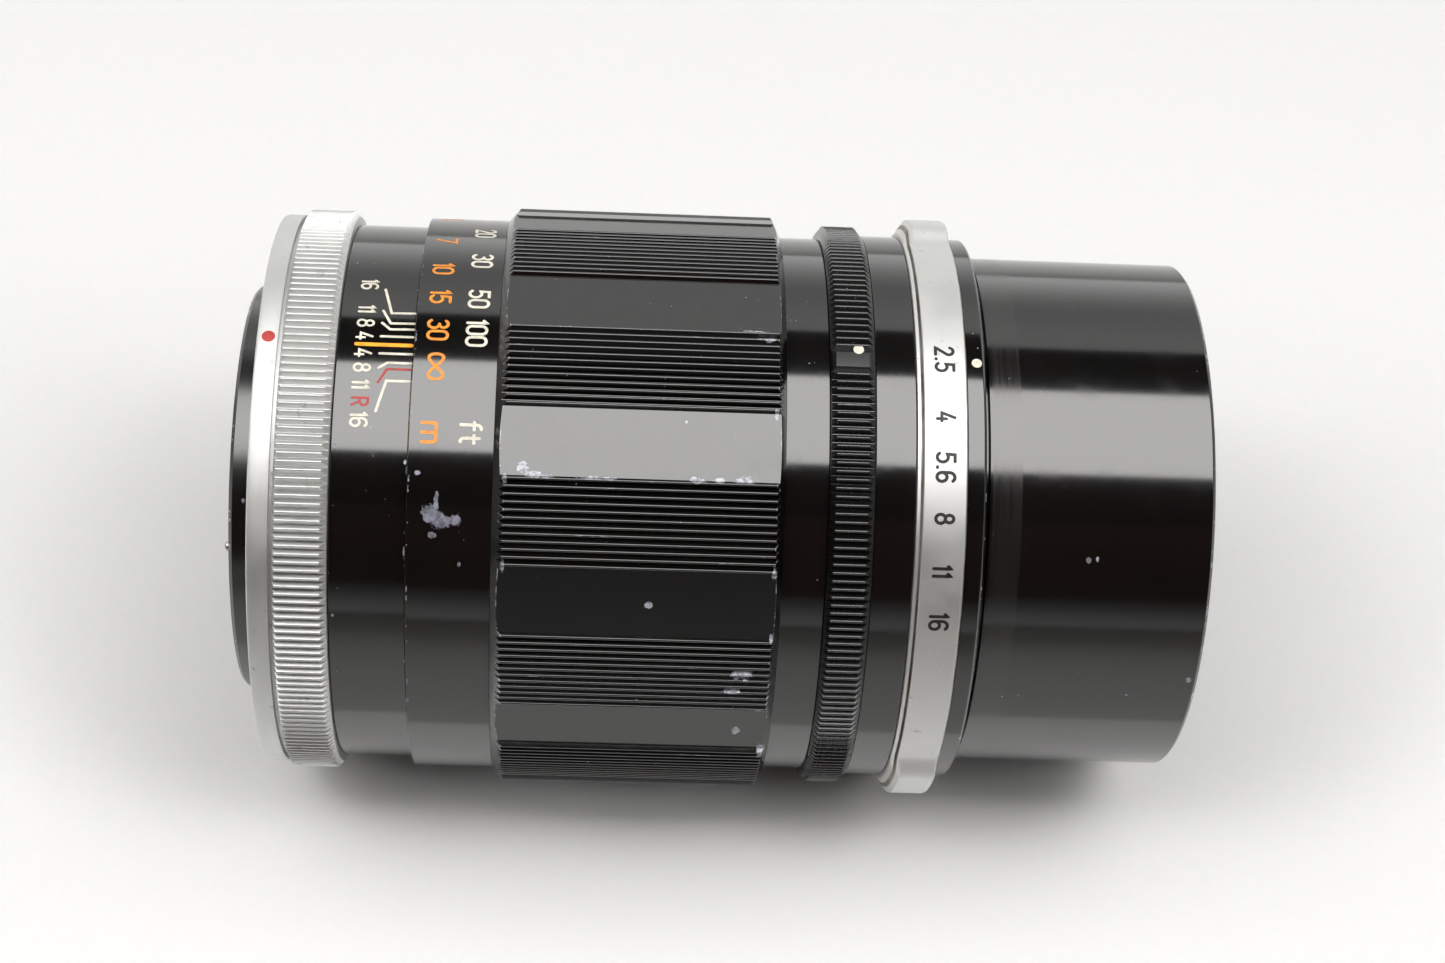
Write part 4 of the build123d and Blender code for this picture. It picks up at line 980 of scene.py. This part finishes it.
def dress_kept_pieces():
    """Give every CAD node that still shows a worked material."""
    by_slot = {"brass": BRASS, "satin_aluminium": GREY_ALUMINIUM, "satin_chrome": CHROME,
               "bright_steel": STEEL, "dark_steel": DARK_STEEL, "blade_steel": BLADE,
               "black_lacquer": BLACK_SHROUD, "black_anodise": BAFFLE, "coated_glass": INNER_GLASS}
    chosen = {node: material for material, nodes in KEPT.items() for node in nodes}
    slots = {part["node"]: part["material_slot"] for part in frame["record"]["subparts"]}
    for node, obj in frame["nodes"].items():
        material = chosen.get(node, by_slot[slots[node]])
        for place in obj.material_slots:
            place.material = material


# ---- Studio

def studio_sheet(name, corners, material):
    """A flat stage piece through four (x, y, z) corners in metres."""
    mesh = bpy.data.meshes.new(name)
    mesh.from_pydata(corners, [], [(0, 1, 2, 3)])
    mesh.materials.append(material)
    sheet = bpy.data.objects.new(name, mesh)
    bpy.context.scene.collection.objects.link(sheet)
    return sheet


def reflected_only(sheet):
    """Let only mirror-like reflections see a sheet, so it neither shows nor shades the floor."""
    sheet.visible_camera = False
    sheet.visible_diffuse = False
    sheet.visible_shadow = False


def studio_floor():
    """A large plain pale sheet of paper under the lens."""
    n = Nodes("studio_paper")
    grain = n.noise(n.place, 900.0, 3.0)
    n.set(Base_Color=n.blend(grain, (0.44, 0.44, 0.438, 1), (0.46, 0.46, 0.458, 1)))
    n.set(Roughness=0.8, Normal=n.bump(grain, 0.1, 0.05))
    half = 6.0
    height = CAD_BOX[0][2]
    corners = [(-half, -half, height), (half, -half, height), (half, half, height), (-half, half, height)]
    studio_sheet("studio_floor", corners, n.material)


def studio_table_reflection():
    """A sheet that only reflections see, painted darker away from the lens: a painted reflection of the
    dimmer front of the table.
    """
    n = Nodes("studio_table_painted_reflection")
    parts = n.add("ShaderNodeSeparateXYZ")
    n.feed(parts.inputs[0], n.place)
    # Painted reflection: the tone gets darker away from the lens.
    reflection_dimming = n.ramp(parts.outputs[1], -0.30, -0.05)
    n.set(Base_Color=n.blend(reflection_dimming, (0.12, 0.119, 0.116, 1), (0.3, 0.3, 0.298, 1)), Roughness=0.9)
    height = CAD_BOX[0][2] + 0.0005
    corners = [(-1.6, -2.5, height), (1.6, -2.5, height), (1.6, -0.05, height), (-1.6, -0.05, height)]
    reflected_only(studio_sheet("table_card", corners, n.material))


def arc_corners(first, last, distance, half_width):
    """Corners of a strip along X between two elevations seen from the lens; 90 is overhead."""
    corners = []
    for elevation, side in ((first, -1), (first, 1), (last, 1), (last, -1)):
        turn = math.radians(elevation)
        corners.append((side * half_width, -distance * math.cos(turn), distance * math.sin(turn)))
    return corners


def studio_card(name, first, last, tone, distance=0.8, half_width=1.6):
    """A dark card beyond the camera's view, which also keeps the room's light off the table."""
    n = Nodes(name)
    cloud = n.noise(n.place, 4.0)
    dark = tuple(c * 0.4 for c in tone) + (1,)
    light = tuple(c * 1.6 for c in tone) + (1,)
    n.set(Base_Color=n.blend(cloud, dark, light), Roughness=0.9)
    studio_sheet(name, arc_corners(first, last, distance, half_width), n.material).visible_camera = False


def studio_reflection_glow(name, first, last, low, high, distance=1.2, half_width=2.4):
    """A glowing sheet that only reflections see, a painted reflection of a lit wall; its brightness runs
    from low to high between two elevations.
    """
    n = Nodes(name)
    parts = n.add("ShaderNodeSeparateXYZ")
    n.feed(parts.inputs[0], n.place)
    start, end = (distance * math.sin(math.radians(elevation)) for elevation in (first, last))
    if start < end:
        rise = n.ramp(parts.outputs[2], start, end)
    else:
        rise = n.ramp(parts.outputs[2], end, start, 1.0, 0.0)
    # Emission only: the glow is a painted reflection and lights nothing.
    n.set(Base_Color=(0.0, 0.0, 0.0, 1), Emission_Strength=1.0)
    n.set(Emission_Color=n.blend(rise, (low, low, low * 0.99, 1), (high, high, high * 0.99, 1)))
    reflected_only(studio_sheet(name, arc_corners(first, last, distance, half_width), n.material))


def studio_lamp(name, size, size_y, radiance, matrix):
    """A rectangular soft light that the camera doesn't see."""
    light = bpy.data.lights.new(name, "AREA")
    light.shape = "RECTANGLE"
    light.size = size
    light.size_y = size_y
    light.energy = radiance * size * size_y * math.pi
    light.color = (1.0, 0.99, 0.975)
    lamp = bpy.data.objects.new(name, light)
    lamp.matrix_world = matrix
    lamp.visible_camera = False
    bpy.context.scene.collection.objects.link(lamp)
    return lamp


def studio_softbox(first, last, radiance, distance=0.8, half_width=0.75):
    """The overhead softbox, a strip between two elevations as seen from the lens."""
    tilt = math.radians(90 - (first + last) / 2)
    depth = 2 * distance * math.tan(math.radians(last - first) / 2)
    aim = Matrix.Rotation(tilt, 4, "X") @ Matrix.Translation((0.035, 0, distance))
    studio_lamp("softbox", 2 * half_width, depth, radiance, aim)


def studio_side_light(name, azimuth, elevation, radiance, distance=0.9, size=0.5):
    """A soft fill to one side of the camera that leaves no reflection; azimuth 90 is at the front rim."""
    tilt = Matrix.Rotation(math.radians(90 - elevation), 4, "X")
    turn = Matrix.Rotation(math.radians(azimuth), 4, "Z") @ tilt
    lamp = studio_lamp(name, size, size, radiance, turn @ Matrix.Translation((0, 0, distance)))
    lamp.visible_glossy = False


def studio_world(strength):
    """Even light from all round."""
    world = bpy.data.worlds.new("studio")
    world.use_nodes = True
    background = world.node_tree.nodes["Background"]
    background.inputs["Color"].default_value = (1.0, 0.995, 0.985, 1)
    background.inputs["Strength"].default_value = strength
    bpy.context.scene.world = world


def place_camera():
    """The camera looks down from beside the lens, a little turned and rolled."""
    elevation = math.radians(50.05)
    distance = 0.3168
    across = 0.0358
    pan, tilt, roll = (math.radians(a) for a in (2.66, -0.41, -1.79))
    sine, cosine = math.sin(elevation), math.cos(elevation)
    base = Matrix(((1, 0, 0), (0, sine, -cosine), (0, cosine, sine)))
    turn = Matrix.Rotation(roll, 3, "Z") @ Matrix.Rotation(tilt, 3, "X") @ Matrix.Rotation(pan, 3, "Y")
    data = bpy.data.cameras.new("camera")
    data.sensor_width = 36.0
    data.lens = 65.72
    data.clip_start = 0.01
    camera = bpy.data.objects.new("camera", data)
    camera.matrix_world = Matrix.Translation((across, -distance * cosine, distance * sine)) @ (
        base @ turn.transposed()).to_4x4()
    bpy.context.scene.collection.objects.link(camera)
    bpy.context.scene.camera = camera


make_breech_ring()
make_main_barrel()
make_depth_scale()
make_scale_ring()
make_grip()
make_front_barrel()
make_mode_ring()
make_collar()
make_aperture_ring()
make_index_ring()
make_front_tube()
make_front_bezel()
make_glass()
dress_kept_pieces()
studio_floor()
studio_table_reflection()
# Painted reflection of the table edge: a glowing sheet only reflections see.
studio_reflection_glow("table_edge_reflection", -2, 11, 0.42, 0.06, 0.78, 1.6)
studio_card("front_card", 10, 44, (0.03, 0.013, 0.009))
studio_card("front_top_card", 44, 66, (0.014, 0.013, 0.014))
studio_card("rear_card", 104, 126.4, (0.025, 0.025, 0.027))
# Painted reflections of the wall behind: glowing sheets only reflections see.
studio_reflection_glow("rear_upper_wall_reflection", 126.4, 152, 0.86, 0.6)
studio_reflection_glow("rear_lower_wall_reflection", 152, 182, 0.6, 1.4)
studio_softbox(66, 104, 4.0)
studio_side_light("left_light", -48, 51, 12.0)
studio_side_light("right_light", 48, 51, 12.0)
studio_world(0.45)
place_camera()
bpy.context.scene.view_settings.view_transform = "Standard"
bpy.context.scene.view_settings.look = "None"
